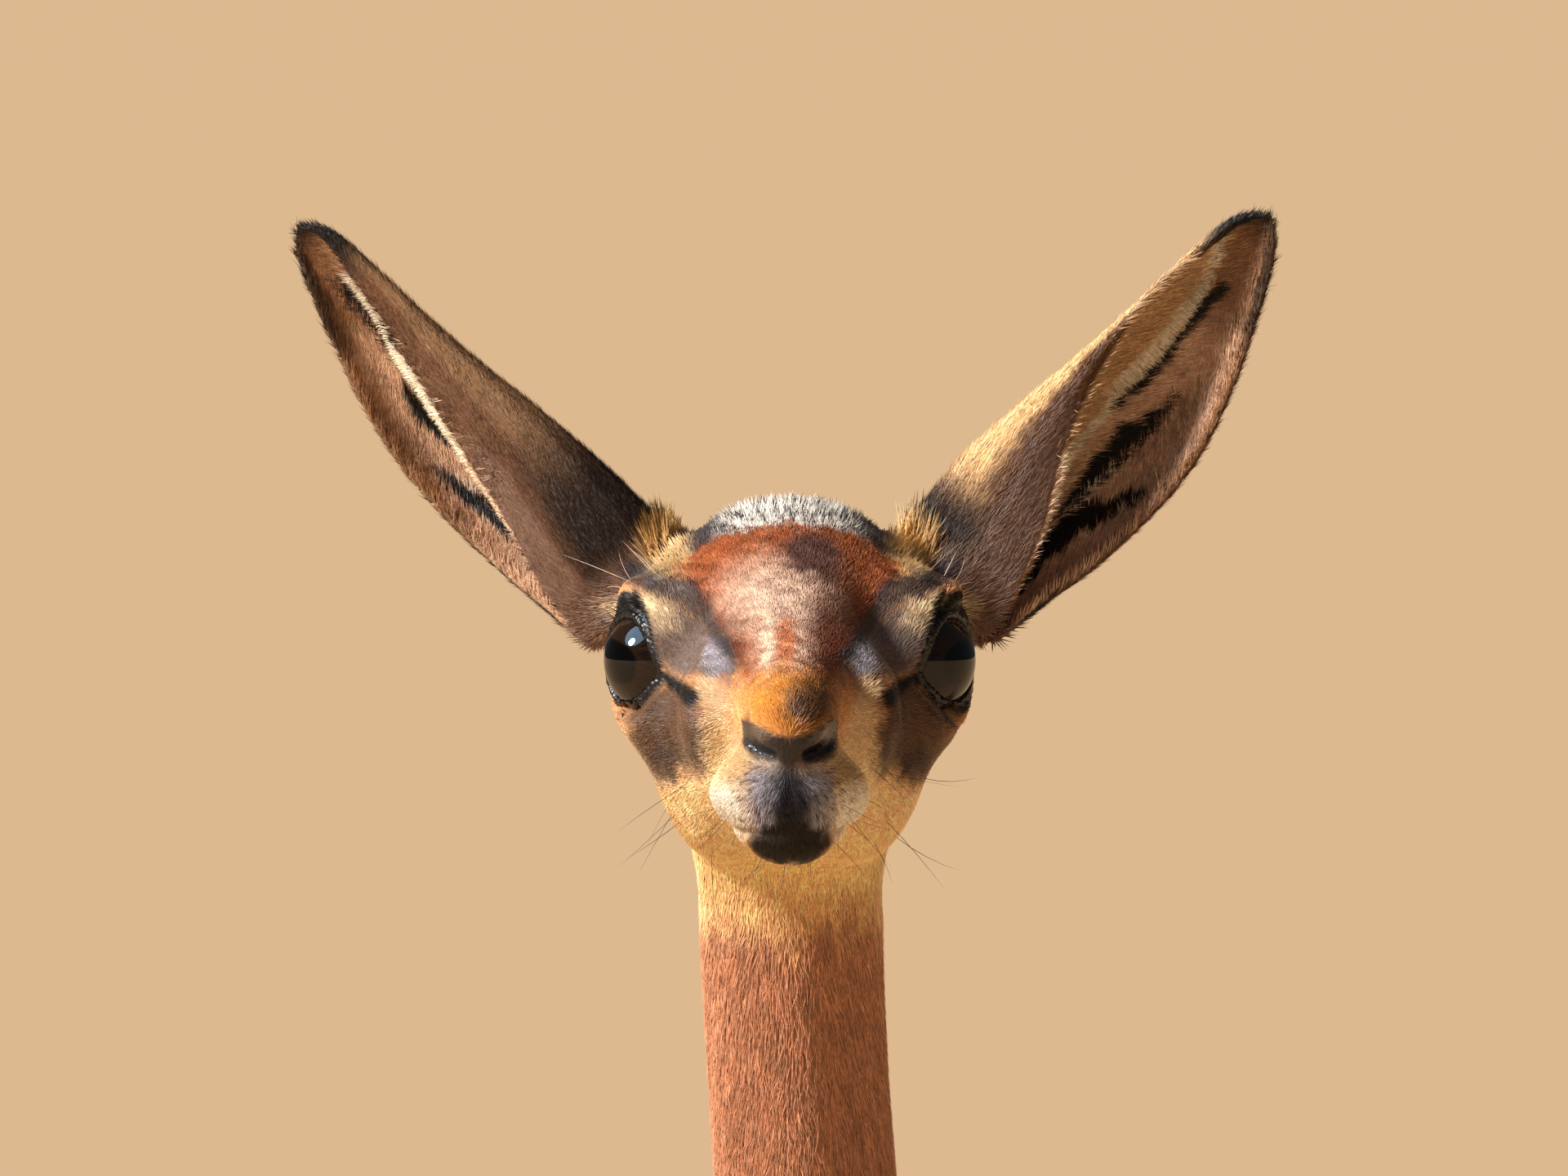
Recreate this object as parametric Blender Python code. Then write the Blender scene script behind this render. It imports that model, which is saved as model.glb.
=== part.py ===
"""A gerenuk doe, life size, standing with its head up and looking straight ahead.

Metres, +Z up. The animal faces -Y, so its own left side is +X. The flesh is one smooth field of
blended round forms (a point is inside where the field is negative). The field is turned into a
surface, thinned to few faces, and parted with thin flat cuts into the named pieces.
"""

import itertools
import math
import random

import bmesh
import bpy
import numpy as np
from mathutils import Matrix, Vector

# Driving sizes: the point midway between the eyeballs, and the head's sideways lean.
EYE_FORWARD = 0.455
EYE_HEIGHT = 1.335
HEAD_LEAN = -0.016
LEAN_FROM, LEAN_TO = 1.00, 1.285
GAP = 0.0003
CUT_MARGIN_STEPS = 3.0
SHARP_DEG = 38
SIDES = {"left": 1, "right": -1}

# How many triangles each kind of node keeps.
HEAD_TRIANGLES, EAR_TRIANGLES, NECK_TRIANGLES, TORSO_TRIANGLES = 4200, 1000, 700, 2000
TAIL_TRIANGLES, UPPER_LEG_TRIANGLES, LOWER_LEG_TRIANGLES = 220, 360, 420

# The box and the grid step in which each piece of flesh is made.
HEAD_BOX, HEAD_STEP = ((-0.085, -0.590, 1.230), (0.055, -0.335, 1.400)), 0.0015
EAR_BOXES = {
    "left": ((0.010, -0.455, 1.335), (0.135, -0.375, 1.475)),
    "right": ((-0.165, -0.455, 1.335), (-0.040, -0.375, 1.475)),
}
EAR_STEP = 0.0014
NECK_BOX, NECK_STEP = ((-0.110, -0.490, 0.740), (0.110, -0.090, 1.370)), 0.0055
TORSO_BOX, TORSO_STEP = ((-0.135, -0.380, 0.560), (0.135, 0.560, 0.955)), 0.0065
TAIL_BOX, TAIL_STEP = ((-0.040, 0.518, 0.628), (0.040, 0.600, 0.880)), 0.0030
# Legs: how far out from the middle, how far behind the origin, how high, and past each cut.
LEG_X, LEG_Y = (0.005, 0.135), {"fore": (-0.270, -0.080), "hind": (0.250, 0.570)}
LEG_TOP, LEG_PAST_CUT = 0.700, 0.050
UPPER_LEG_STEP, LOWER_LEG_STEP = 0.0042, 0.0036

# Trunk: distance behind the origin, centre height, half width, half depth.
TRUNK = (
    (-0.262, 0.786, 0.036, 0.050),
    (-0.238, 0.775, 0.058, 0.088),
    (-0.200, 0.762, 0.077, 0.121),
    (-0.120, 0.749, 0.091, 0.146),
    (0.000, 0.742, 0.102, 0.147),
    (0.100, 0.742, 0.107, 0.140),
    (0.200, 0.749, 0.106, 0.129),
    (0.290, 0.762, 0.097, 0.115),
    (0.370, 0.776, 0.086, 0.106),
    (0.425, 0.784, 0.070, 0.090),
    (0.465, 0.788, 0.045, 0.064),
)
# Neck: the same, from the chest up to the skull.
NECK = (
    (-0.165, 0.770, 0.066, 0.100),
    (-0.225, 0.845, 0.055, 0.083),
    (-0.285, 0.935, 0.0400, 0.0590),
    (-0.332, 1.030, 0.0318, 0.0460),
    (-0.366, 1.130, 0.0276, 0.0385),
    (-0.387, 1.215, 0.0262, 0.0355),
    (-0.400, 1.285, 0.0270, 0.0350),
    (-0.408, 1.330, 0.0280, 0.0340),
)
# Muscles over the trunk, one of each pair: centre, radii, pitch in degrees, blend.
MUSCLES = (
    ((0.060, -0.185, 0.765), (0.038, 0.058, 0.130), -22, 0.040),
    ((0.060, -0.205, 0.715), (0.028, 0.042, 0.050), 0, 0.034),
    ((0.068, -0.145, 0.650), (0.029, 0.048, 0.062), 15, 0.030),
    ((0.050, 0.390, 0.802), (0.042, 0.090, 0.064), -10, 0.040),
    ((0.060, 0.410, 0.712), (0.043, 0.074, 0.125), -10, 0.040),
    ((0.064, 0.352, 0.650), (0.034, 0.044, 0.070), -22, 0.035),
)
# Legs: sideways, behind the origin, height, half width, half depth, from the body to the coronet.
FORELEG = (
    (0.070, -0.150, 0.665, 0.030, 0.048),
    (0.071, -0.160, 0.590, 0.0255, 0.0350),
    (0.070, -0.172, 0.500, 0.0195, 0.0245),
    (0.069, -0.180, 0.410, 0.0160, 0.0180),
    (0.068, -0.184, 0.362, 0.0180, 0.0195),
    (0.068, -0.184, 0.330, 0.0172, 0.0185),
    (0.067, -0.180, 0.295, 0.0125, 0.0140),
    (0.067, -0.181, 0.200, 0.0102, 0.0122),
    (0.067, -0.182, 0.115, 0.0106, 0.0126),
    (0.067, -0.181, 0.086, 0.0134, 0.0158),
    (0.067, -0.191, 0.056, 0.0118, 0.0128),
    (0.067, -0.200, 0.024, 0.0150, 0.0165),
)
HINDLEG = (
    (0.066, 0.365, 0.690, 0.042, 0.070),
    (0.070, 0.372, 0.610, 0.0330, 0.0560),
    (0.070, 0.420, 0.520, 0.0240, 0.0360),
    (0.068, 0.472, 0.440, 0.0165, 0.0225),
    (0.067, 0.500, 0.398, 0.0168, 0.0225),
    (0.067, 0.499, 0.365, 0.0150, 0.0195),
    (0.067, 0.488, 0.300, 0.0120, 0.0148),
    (0.067, 0.476, 0.200, 0.0108, 0.0134),
    (0.067, 0.467, 0.120, 0.0112, 0.0134),
    (0.067, 0.464, 0.088, 0.0138, 0.0162),
    (0.067, 0.453, 0.057, 0.0120, 0.0130),
    (0.067, 0.444, 0.024, 0.0152, 0.0168),
)
HOCK_POINT = ((0.067, 0.513, 0.418), (0.0095, 0.0100, 0.0240), 14, 0.018)
# How far each foot stands behind its place in the tables, and the height where that step begins.
STRIDE = {"fore_left": -0.022, "fore_right": 0.012, "hind_left": 0.030, "hind_right": -0.020}
STRIDE_FROM = 0.56

TAIL = (
    (0.0, 0.470, 0.848, 0.0190, 0.0150),
    (0.0, 0.515, 0.838, 0.0145, 0.0125),
    (0.0, 0.546, 0.812, 0.0112, 0.0105),
    (0.0, 0.562, 0.768, 0.0092, 0.0090),
    (0.0, 0.569, 0.715, 0.0080, 0.0078),
    (0.0, 0.571, 0.660, 0.0072, 0.0070),
    (0.0, 0.571, 0.640, 0.0070, 0.0068),
)
# Tuft of the tail: where it begins, its core's tip, and its locks.
TUFT_TOP, TUFT_CORE_TIP, TUFT_CORE_RADIUS = 0.652, 0.575, 0.0072
TUFT_CORE_END = 0.0012
TUFT_LOCKS, TUFT_ROWS, LOCK_LENGTH, LOCK_WIDTH, LOCK_THICKNESS = 6, 3, 0.085, 0.0105, 0.0022
# Each row starts so far below the one before, on a core that has narrowed by this share.
ROW_START, ROW_DROP, ROW_NARROWING, ROOT_SUNK = 0.004, 0.022, 0.24, 0.0026
# Ranges that each lock's length (as a share), spread and sideways sway are drawn from.
LOCK_LENGTHS, LOCK_SPREADS = (0.85, 1.1), (0.008, 0.014)
LOCK_SWAYS, LOCK_TURNS = (-0.006, 0.006), (-0.12, 0.12)
LOCK_RINGS, LOCK_BEND, LOCK_SEED = 5, 2.2, 7

# Cuts between the nodes: a point on the plane and the way it faces (behind the origin, up).
NECK_HEAD_CUT = ((-0.405, 1.300), (-0.66, 0.75))
TORSO_NECK_CUT = ((-0.230, 0.845), (-0.567, 0.824))
TAIL_CUT = ((0.533, 0.0), (1.0, 0.0))
TUFT_CUT = ((0.0, TUFT_TOP), (0.0, -1.0))
FORELEG_CUT = ((0.0, 0.585), (0.0, -1.0))
HINDLEG_CUT = ((0.410, 0.626), (0.39, -0.92))
KNEE_CUT = ((0.0, 0.345), (0.0, -1.0))
HOCK_CUT = ((0.500, 0.392), (0.30, -0.95))
EAR_CUT_AT = 0.004
LEG_CUTS = {"fore": (FORELEG_CUT, KNEE_CUT), "hind": (HINDLEG_CUT, HOCK_CUT)}

# Hooves: the middle of each foot behind the origin, the coronet's height there and its slope.
FOOT_Y = {"fore": -0.203, "hind": 0.441}
FOOT_X = 0.067
CORONET_HEIGHT, CORONET_SLOPE = 0.026, 0.30
CLEFT = 0.0007
# Outline of one claw's sole: out from the cleft, ahead of the foot's middle.
CLAW = (
    (0.0030, 0.0275),
    (0.0085, 0.0190),
    (0.0130, 0.0070),
    (0.0148, -0.0060),
    (0.0125, -0.0165),
    (0.0070, -0.0205),
    (0.0018, -0.0170),
    (0.0000, -0.0060),
    (0.0000, 0.0130),
)
CLAW_TOP_SCALE, CLAW_TOP_SHIFT = 0.80, -0.0035

# Above this height the field is the head's, below it the body's. Both are plain neck here.
NECK_CHANGEOVER = 1.19

# The head is measured from the point midway between the eyeballs: across, ahead (towards -Y), up.
CRANIUM = ((0.0, -0.030, 0.0085), (0.0405, 0.0480, 0.0315))
NOSE_LINE = (
    (0.0, -0.030, 0.0150, 0.0320, 0.0260),
    (0.0, 0.005, 0.0125, 0.0270, 0.0215),
    (0.0, 0.035, 0.0040, 0.0200, 0.0180),
    (0.0, 0.065, -0.0050, 0.0162, 0.0155),
    (0.0, 0.090, -0.0115, 0.0142, 0.0140),
    (0.0, 0.107, -0.0155, 0.0128, 0.0125),
)
JAW = (
    (0.0, -0.045, -0.0330, 0.0235, 0.0240),
    (0.0, -0.012, -0.0350, 0.0260, 0.0235),
    (0.0, 0.025, -0.0350, 0.0215, 0.0185),
    (0.0, 0.060, -0.0345, 0.0178, 0.0155),
    (0.0, 0.086, -0.0365, 0.0162, 0.0140),
    (0.0, 0.098, -0.0400, 0.0132, 0.0120),
)
# One of each pair: centre, radii, (pitch, roll, yaw) in degrees, blend.
FACE_FORMS = (
    ((0.0250, -0.008, -0.0260), (0.0150, 0.0340, 0.0310), (0, 12, -4), 0.014),
    ((0.0310, 0.001, 0.0010), (0.0185, 0.0270, 0.0225), (0, 0, -10), 0.012),
    ((0.0345, -0.003, 0.0165), (0.0135, 0.0220, 0.0075), (0, -14, -12), 0.008),
    ((0.0330, -0.002, -0.0165), (0.0110, 0.0270, 0.0080), (8, 0, -14), 0.014),
    ((0.0175, 0.036, -0.0150), (0.0130, 0.0370, 0.0180), (12, 0, -10), 0.016),
    ((0.0400, -0.046, 0.0150), (0.0170, 0.0170, 0.0200), (0, 40, 0), 0.014),
)
MUZZLE_FORMS = (
    ((0.0, 0.0930, -0.0330), (0.0225, 0.0230, 0.0130), 0.008),
    ((0.0, 0.0950, -0.0440), (0.0112, 0.0135, 0.0084), 0.005),
)

EYE_CENTRE = (0.0352, 0.002, 0.0)
EYE_RADIUS = 0.0165
LID_THICKNESS = 0.0022
LID_BLEND = 0.0060
EYE_AHEAD_DEG = 33
EYE_TILT_DEG = 15
OPENING_HALF_LENGTH, OPENING_HALF_HEIGHT = 0.84, 0.76
TEAR_GROOVE = ((0.0300, 0.0190, -0.0065, 0.0016, 0.0016), (0.0258, 0.0330, -0.0110, 0.0020, 0.0020))
# Nostrils are cut as slits, so many times deeper than they are wide.
SLIT_DEPTH = 5.0
NOSTRIL = (
    (0.0126, 0.1100, -0.0118, 0.0012, 0.0012),
    (0.0126, 0.1130, -0.0165, 0.0021, 0.0021),
    (0.0100, 0.1160, -0.0205, 0.0022, 0.0022),
    (0.0052, 0.1180, -0.0222, 0.0013, 0.0013),
)
MOUTH = (
    (0.0, 0.1130, -0.0450, 0.0012, 0.0012),
    (0.0080, 0.1100, -0.0448, 0.0012, 0.0012),
    (0.0150, 0.1000, -0.0435, 0.0012, 0.0012),
    (0.0185, 0.0800, -0.0415, 0.0011, 0.0011),
    (0.0190, 0.0600, -0.0390, 0.0009, 0.0009),
)
PHILTRUM = ((0.0, 0.1190, -0.0260, 0.0010, 0.0010), (0.0, 0.1150, -0.0430, 0.0010, 0.0010))

# Ear: its root, its direction, and for stations along it the places of the cup's front margin,
# inner turn and rear margin across the ear, how deep the cup lies behind, and how far its two
# margins come forward.
EAR_ROOT = (0.045, -0.043, 0.022)
EAR_ALONG = (0.66, -0.15, 0.735)
EAR_ACROSS = (-0.742, 0.0, 0.669)
EAR_TABLE = (
    (-0.006, -0.0180, 0.0160, -0.0208, 0.0145, 0.0095, 0.0070),
    (0.010, -0.0142, 0.0180, -0.0240, 0.0155, 0.0120, 0.0045),
    (0.030, -0.0090, 0.0182, -0.0282, 0.0150, 0.0115, 0.0030),
    (0.050, -0.0014, 0.0163, -0.0306, 0.0140, 0.0095, 0.0020),
    (0.070, 0.0046, 0.0128, -0.0300, 0.0125, 0.0062, 0.0012),
    (0.090, 0.0074, 0.0102, -0.0250, 0.0098, 0.0030, 0.0008),
    (0.108, 0.0074, 0.0090, -0.0180, 0.0068, 0.0016, 0.0004),
    (0.124, 0.0066, 0.0076, -0.0106, 0.0040, 0.0008, 0.0002),
    (0.1315, 0.0044, 0.0050, -0.0064, 0.0020, 0.0003, 0.0001),
    (0.1355, 0.0006, 0.0010, -0.0014, 0.0004, 0.0001, 0.0001),
)
EAR_LENGTH = EAR_TABLE[-1][0]
# Corners of the cup's middle line, from the front margin round to the rear one: each one's place
# across as shares of (front margin, inner turn, rear margin), and forward as shares of (front
# margin's reach, depth, rear margin's reach).
CUP_CORNERS = (
    ((1.0, 0.0, 0.0), (1.0, 0.0, 0.0)),
    ((0.45, 0.55, 0.0), (1.08, 0.0, 0.0)),
    ((0.0, 1.0, 0.0), (0.10, 0.0, 0.0)),
    ((0.0, 0.62, 0.38), (0.0, -0.92, 0.0)),
    ((0.0, 0.18, 0.82), (0.0, -0.72, 0.0)),
    ((0.0, 0.0, 1.0), (0.0, 0.0, 1.0)),
)
EAR_HALF_THICKNESS, EAR_ROOT_THICKENING, EAR_EDGE_THINNING = 0.0016, 0.0012, 0.25
EAR_TURN_DEG = {"left": 0.0, "right": -34.0}
EAR_DROP_DEG = {"left": 0.0, "right": 1.8}
# The right ear's front margin is drawn further over its cup: by how much, along the ear.
EAR_CLOSED = {"left": 0.0, "right": 1.0}
EAR_CLOSING = (
    (0.0100, 0.0000),
    (0.0300, 0.0026),
    (0.0500, 0.0085),
    (0.0700, 0.0122),
    (0.0900, 0.0126),
    (0.1080, 0.0078),
    (0.1240, 0.0022),
    (0.1355, 0.0000),
)

# How widely the forms run into each other, and how softly the hollows end.
NECK_BLEND, LEG_BLEND, TAIL_BLEND = 0.060, 0.022, 0.012
NOSE_BLEND, JAW_BLEND, SKULL_NECK_BLEND, EAR_BLEND = 0.012, 0.014, 0.022, 0.007
LID_EDGE, TEAR_EDGE, NOSTRIL_EDGE, LIP_EDGE = 0.0012, 0.0030, 0.0015, 0.0020
# The lids' opening is round behind the pupil and more pointed towards the tear duct.
ALMOND_POWER, ALMOND_POINT, ALMOND_SLOPE = 2.0, 1.25, 0.7
FAR = 10.0


def smooth_min(a, b, blend):
    share = np.clip(0.5 + 0.5 * (b - a) / blend, 0.0, 1.0)
    return b + (a - b) * share - blend * share * (1.0 - share)


def smooth_max(a, b, blend):
    return -smooth_min(-a, -b, blend)


def smooth_step(value, start, end):
    share = np.clip((value - start) / (end - start), 0.0, 1.0)
    return share * share * (3.0 - 2.0 * share)


def curve_through(rows, steps):
    """Rows on a Catmull-Rom curve through the given rows, with so many steps between each two."""
    rows = np.asarray(rows, float)
    padded = np.vstack((2 * rows[0] - rows[1], rows, 2 * rows[-1] - rows[-2]))
    made = []
    for i in range(len(rows) - 1):
        before, start, end, after = padded[i : i + 4]
        for t in np.arange(steps) / steps:
            square = 2 * before - 5 * start + 4 * end - after
            cube = 3 * start - before - 3 * end + after
            made.append(0.5 * (2 * start + (end - before + (square + cube * t) * t) * t))
    made.append(rows[-1])
    return np.array(made)


def oval_distance(across, along, half_width, half_depth):
    """About how far a point is outside an oval, from its offsets from the oval's centre."""
    near = np.sqrt((across / half_width) ** 2 + (along / half_depth) ** 2)
    slope = np.sqrt((across / half_width**2) ** 2 + (along / half_depth**2) ** 2)
    return near * (near - 1.0) / np.maximum(slope, 1e-9)


def tube(points, stations, steps=3, margin=0.07):
    """Field of a limb: oval sections, wide across X, along a smooth curve through the stations."""
    rows = curve_through(stations, steps)
    low = rows[:, :3].min(0) - rows[:, 3:].max()
    high = rows[:, :3].max(0) + rows[:, 3:].max()
    outside = np.maximum(np.maximum(low - points, points - high), 0.0)
    distance = np.linalg.norm(outside, axis=1)
    close = distance < margin
    near = points[close]
    best = np.full(len(near), FAR)
    for start, end in zip(rows, rows[1:]):
        run = end[:3] - start[:3]
        from_start = near - start[:3]
        share = np.clip(from_start @ run / (run @ run), 0.0, 1.0)
        offset = from_start - share[:, None] * run
        half_width = start[3] + share * (end[3] - start[3])
        half_depth = start[4] + share * (end[4] - start[4])
        depth = np.hypot(offset[:, 1], offset[:, 2])
        best = np.minimum(best, oval_distance(offset[:, 0], depth, half_width, half_depth))
    distance[close] = best
    return distance


def turned(degrees):
    """Rotation matrix for angles about X, Y and Z."""
    x, y, z = (math.radians(d) for d in degrees)
    about_x = np.array(((1, 0, 0), (0, math.cos(x), -math.sin(x)), (0, math.sin(x), math.cos(x))))
    about_y = np.array(((math.cos(y), 0, math.sin(y)), (0, 1, 0), (-math.sin(y), 0, math.cos(y))))
    about_z = np.array(((math.cos(z), -math.sin(z), 0), (math.sin(z), math.cos(z), 0), (0, 0, 1)))
    return about_z @ about_y @ about_x


def egg(points, centre, radii, degrees=(0, 0, 0)):
    """Field of an ellipsoid."""
    local = (points - np.array(centre)) @ turned(degrees)
    radii = np.array(radii)
    near = np.linalg.norm(local / radii, axis=1)
    slope = np.linalg.norm(local / radii**2, axis=1)
    return near * (near - 1.0) / np.maximum(slope, 1e-9)


def mirrored(points):
    """Points with their X made positive, so that one form stands for a pair."""
    paired = points.copy()
    paired[:, 0] = np.abs(paired[:, 0])
    return paired


def stepped(points, legs):
    """Points moved back by each side's stride, so that one leg's form serves both sides."""
    moved = mirrored(points)
    stride = np.where(points[:, 0] > 0, STRIDE[legs + "_left"], STRIDE[legs + "_right"])
    moved[:, 1] -= stride * (1.0 - smooth_step(points[:, 2], 0.03, STRIDE_FROM))
    return moved


def body_field(points):
    """Trunk, legs, tail and neck."""
    paired = mirrored(points)
    trunk = [(0.0, *row) for row in TRUNK]
    flesh = tube(points, trunk, margin=0.12)
    for centre, radii, pitch, blend in MUSCLES:
        flesh = smooth_min(flesh, egg(paired, centre, radii, (pitch, 0, 0)), blend)
    flesh = smooth_min(flesh, neck_field(points), NECK_BLEND)
    fore, hind = stepped(points, "fore"), stepped(points, "hind")
    flesh = smooth_min(flesh, tube(fore, FORELEG), LEG_BLEND)
    leg = tube(hind, HINDLEG)
    centre, radii, pitch, blend = HOCK_POINT
    leg = smooth_min(leg, egg(hind, centre, radii, (pitch, 0, 0)), blend)
    flesh = smooth_min(flesh, leg, LEG_BLEND)
    return smooth_min(flesh, tube(points, TAIL), TAIL_BLEND)


def neck_field(points):
    return tube(points, [(0.0, *row) for row in NECK], margin=0.12)


def eye_frame():
    """Axes of the left eye: outward, along the lids towards the tear duct, and up."""
    ahead, tilt = math.radians(EYE_AHEAD_DEG), math.radians(EYE_TILT_DEG)
    outward = np.array((math.cos(ahead), math.sin(ahead), 0.0))
    along = np.array((-math.sin(ahead), math.cos(ahead), 0.0)) * math.cos(tilt)
    along[2] = -math.sin(tilt)
    return outward, along, np.cross(outward, along)


def lid_opening(paired):
    """Field of the almond space between the lids, from the eyeball outwards."""
    outward, along, up = eye_frame()
    offset = paired - np.array(EYE_CENTRE)
    reach = np.maximum(np.linalg.norm(offset, axis=1), 1e-6)
    length = offset @ along / reach / OPENING_HALF_LENGTH
    height = np.abs(offset @ up) / reach / OPENING_HALF_HEIGHT
    power = np.where(length > 0, ALMOND_POINT, ALMOND_POWER)
    almond = (height**power + length**2 - 1.0) * OPENING_HALF_HEIGHT * reach * ALMOND_SLOPE
    return np.maximum(almond, -(offset @ outward))


def head_to_local(points):
    """Metres across, ahead of and above the point midway between the eyeballs."""
    return np.column_stack((points[:, 0], -points[:, 1] - EYE_FORWARD, points[:, 2] - EYE_HEIGHT))


def ear_frame():
    """Axes of the left ear, in the head's own directions: along, across its cup, and forward."""
    along = np.array(EAR_ALONG) / np.linalg.norm(EAR_ALONG)
    across = np.array(EAR_ACROSS) - (np.array(EAR_ACROSS) @ along) * along
    across /= np.linalg.norm(across)
    return along, across, np.cross(across, along)


def ear_section(distance, closed):
    """The cup's middle line at distances along the ear: lists of across and forward offsets."""
    table = curve_through(EAR_TABLE, 4)
    front, turn, rear, depth, front_out, rear_out = (
        np.interp(distance, table[:, 0], table[:, i]) for i in range(1, 7)
    )
    front = front - closed * np.interp(distance, *np.array(EAR_CLOSING).T)
    across, outward = np.stack((front, turn, rear)), np.stack((front_out, depth, rear_out))
    corners = [np.append(wide @ across, deep @ outward) for wide, deep in np.array(CUP_CORNERS)]
    line = curve_through(corners, 3)
    half = line.shape[1] // 2
    return line[:, :half], line[:, half:]


def ear_field(local):
    """Field of both ears, in the head's own directions."""
    along, across, forward = ear_frame()
    left = local[:, 0] > 0
    drop = np.radians(np.where(left, EAR_DROP_DEG["left"], EAR_DROP_DEG["right"]))
    offset = mirrored(local) - np.array(EAR_ROOT)
    out, up = offset[:, 0].copy(), offset[:, 2].copy()
    offset[:, 0] = out * np.cos(drop) - up * np.sin(drop)
    offset[:, 2] = out * np.sin(drop) + up * np.cos(drop)
    distance = np.full(len(local), FAR)
    from_middle = np.linalg.norm(offset - along * EAR_LENGTH / 2, axis=1)
    close = from_middle < EAR_LENGTH * 0.72
    offset, left = offset[close], left[close]
    reach = offset @ along
    turn = np.radians(np.where(left, EAR_TURN_DEG["left"], EAR_TURN_DEG["right"]))
    wide, deep = offset @ across, offset @ forward
    wide, deep = wide * np.cos(turn) - deep * np.sin(turn), wide * np.sin(turn) + deep * np.cos(turn)
    station = np.clip(reach, EAR_TABLE[0][0], EAR_LENGTH)
    closed = np.where(left, EAR_CLOSED["left"], EAR_CLOSED["right"])
    line_wide, line_deep = ear_section(station, closed)
    best = np.full(len(reach), FAR)
    pieces = len(line_wide) - 1
    for i in range(pieces):
        run_wide, run_deep = line_wide[i + 1] - line_wide[i], line_deep[i + 1] - line_deep[i]
        from_wide, from_deep = wide - line_wide[i], deep - line_deep[i]
        length = np.maximum(run_wide**2 + run_deep**2, 1e-12)
        share = np.clip((from_wide * run_wide + from_deep * run_deep) / length, 0.0, 1.0)
        flat = np.hypot(from_wide - share * run_wide, from_deep - share * run_deep)
        edge = abs((i + 0.5) / pieces - 0.5) * 2.0
        best = np.minimum(best, flat - EAR_HALF_THICKNESS * (1.0 - EAR_EDGE_THINNING * edge**4))
    best = np.hypot(np.maximum(best, 0.0), reach - station) + np.minimum(best, 0.0)
    best -= EAR_ROOT_THICKENING * (1.0 - smooth_step(reach, 0.0, 0.05))
    distance[close] = best
    distance[~close] = from_middle[~close] - EAR_LENGTH * 0.60
    return distance


def nostril_field(paired):
    """Field of a nostril: a comma-shaped slit that runs well into the muzzle."""
    flat = paired * (1.0, 1.0 / SLIT_DEPTH, 1.0)
    return tube(flat, np.array(NOSTRIL) * (1.0, 1.0 / SLIT_DEPTH, 1.0, 1.0, 1.0))


def head_field(points):
    """Head with its ears and the top of the neck."""
    local = head_to_local(points)
    paired = mirrored(local)
    flesh = egg(local, *CRANIUM)
    flesh = smooth_min(flesh, tube(local, NOSE_LINE), NOSE_BLEND)
    flesh = smooth_min(flesh, tube(local, JAW), JAW_BLEND)
    for centre, radii, degrees, blend in FACE_FORMS:
        flesh = smooth_min(flesh, egg(paired, centre, radii, degrees), blend)
    for centre, radii, blend in MUZZLE_FORMS:
        flesh = smooth_min(flesh, egg(local, centre, radii), blend)
    flesh = smooth_min(flesh, neck_field(points), SKULL_NECK_BLEND)
    ball = np.linalg.norm(paired - np.array(EYE_CENTRE), axis=1) - EYE_RADIUS
    flesh = smooth_min(flesh, ball - LID_THICKNESS, LID_BLEND)
    flesh = smooth_max(flesh, -lid_opening(paired), LID_EDGE)
    flesh = smooth_max(flesh, -tube(paired, TEAR_GROOVE), TEAR_EDGE)
    flesh = smooth_max(flesh, -nostril_field(paired), NOSTRIL_EDGE)
    flesh = smooth_max(flesh, -tube(paired, MOUTH), LIP_EDGE)
    flesh = smooth_max(flesh, -tube(paired, PHILTRUM), LIP_EDGE)
    return smooth_min(flesh, ear_field(local), EAR_BLEND)


def flesh_field(points):
    """The whole animal. Head and body are both pure neck where they change over."""
    straight = points.copy()
    straight[:, 0] -= HEAD_LEAN * smooth_step(points[:, 2], LEAN_FROM, LEAN_TO)
    upper = points[:, 2] > NECK_CHANGEOVER
    field = np.empty(len(points))
    field[upper] = head_field(straight[upper])
    field[~upper] = body_field(straight[~upper])
    return field


def sampled(field, low, high, step, block=8):
    """Field values on a grid, worked out only in the blocks that the surface may cross."""
    low = np.asarray(low, float)
    counts = np.ceil((np.asarray(high) - low) / (step * block)).astype(int)
    places = np.indices(counts).reshape(3, -1).T
    rough = field(low + (places + 0.5) * step * block)
    grid = np.where(rough < 0, -FAR, FAR).reshape(counts).astype(np.float32)
    grid = grid.repeat(block, 0).repeat(block, 1).repeat(block, 2)
    grid = np.pad(grid, ((0, 1), (0, 1), (0, 1)), mode="edge")
    corners = np.indices((block + 1,) * 3).reshape(3, -1).T
    near = places[np.abs(rough) < step * block * 1.3]
    for some in np.array_split(near, max(1, len(near) // 300)):
        cells = (some[:, None, :] * block + corners).reshape(-1, 3)
        grid[tuple(cells.T)] = field(low + cells * step)
    return grid


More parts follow.
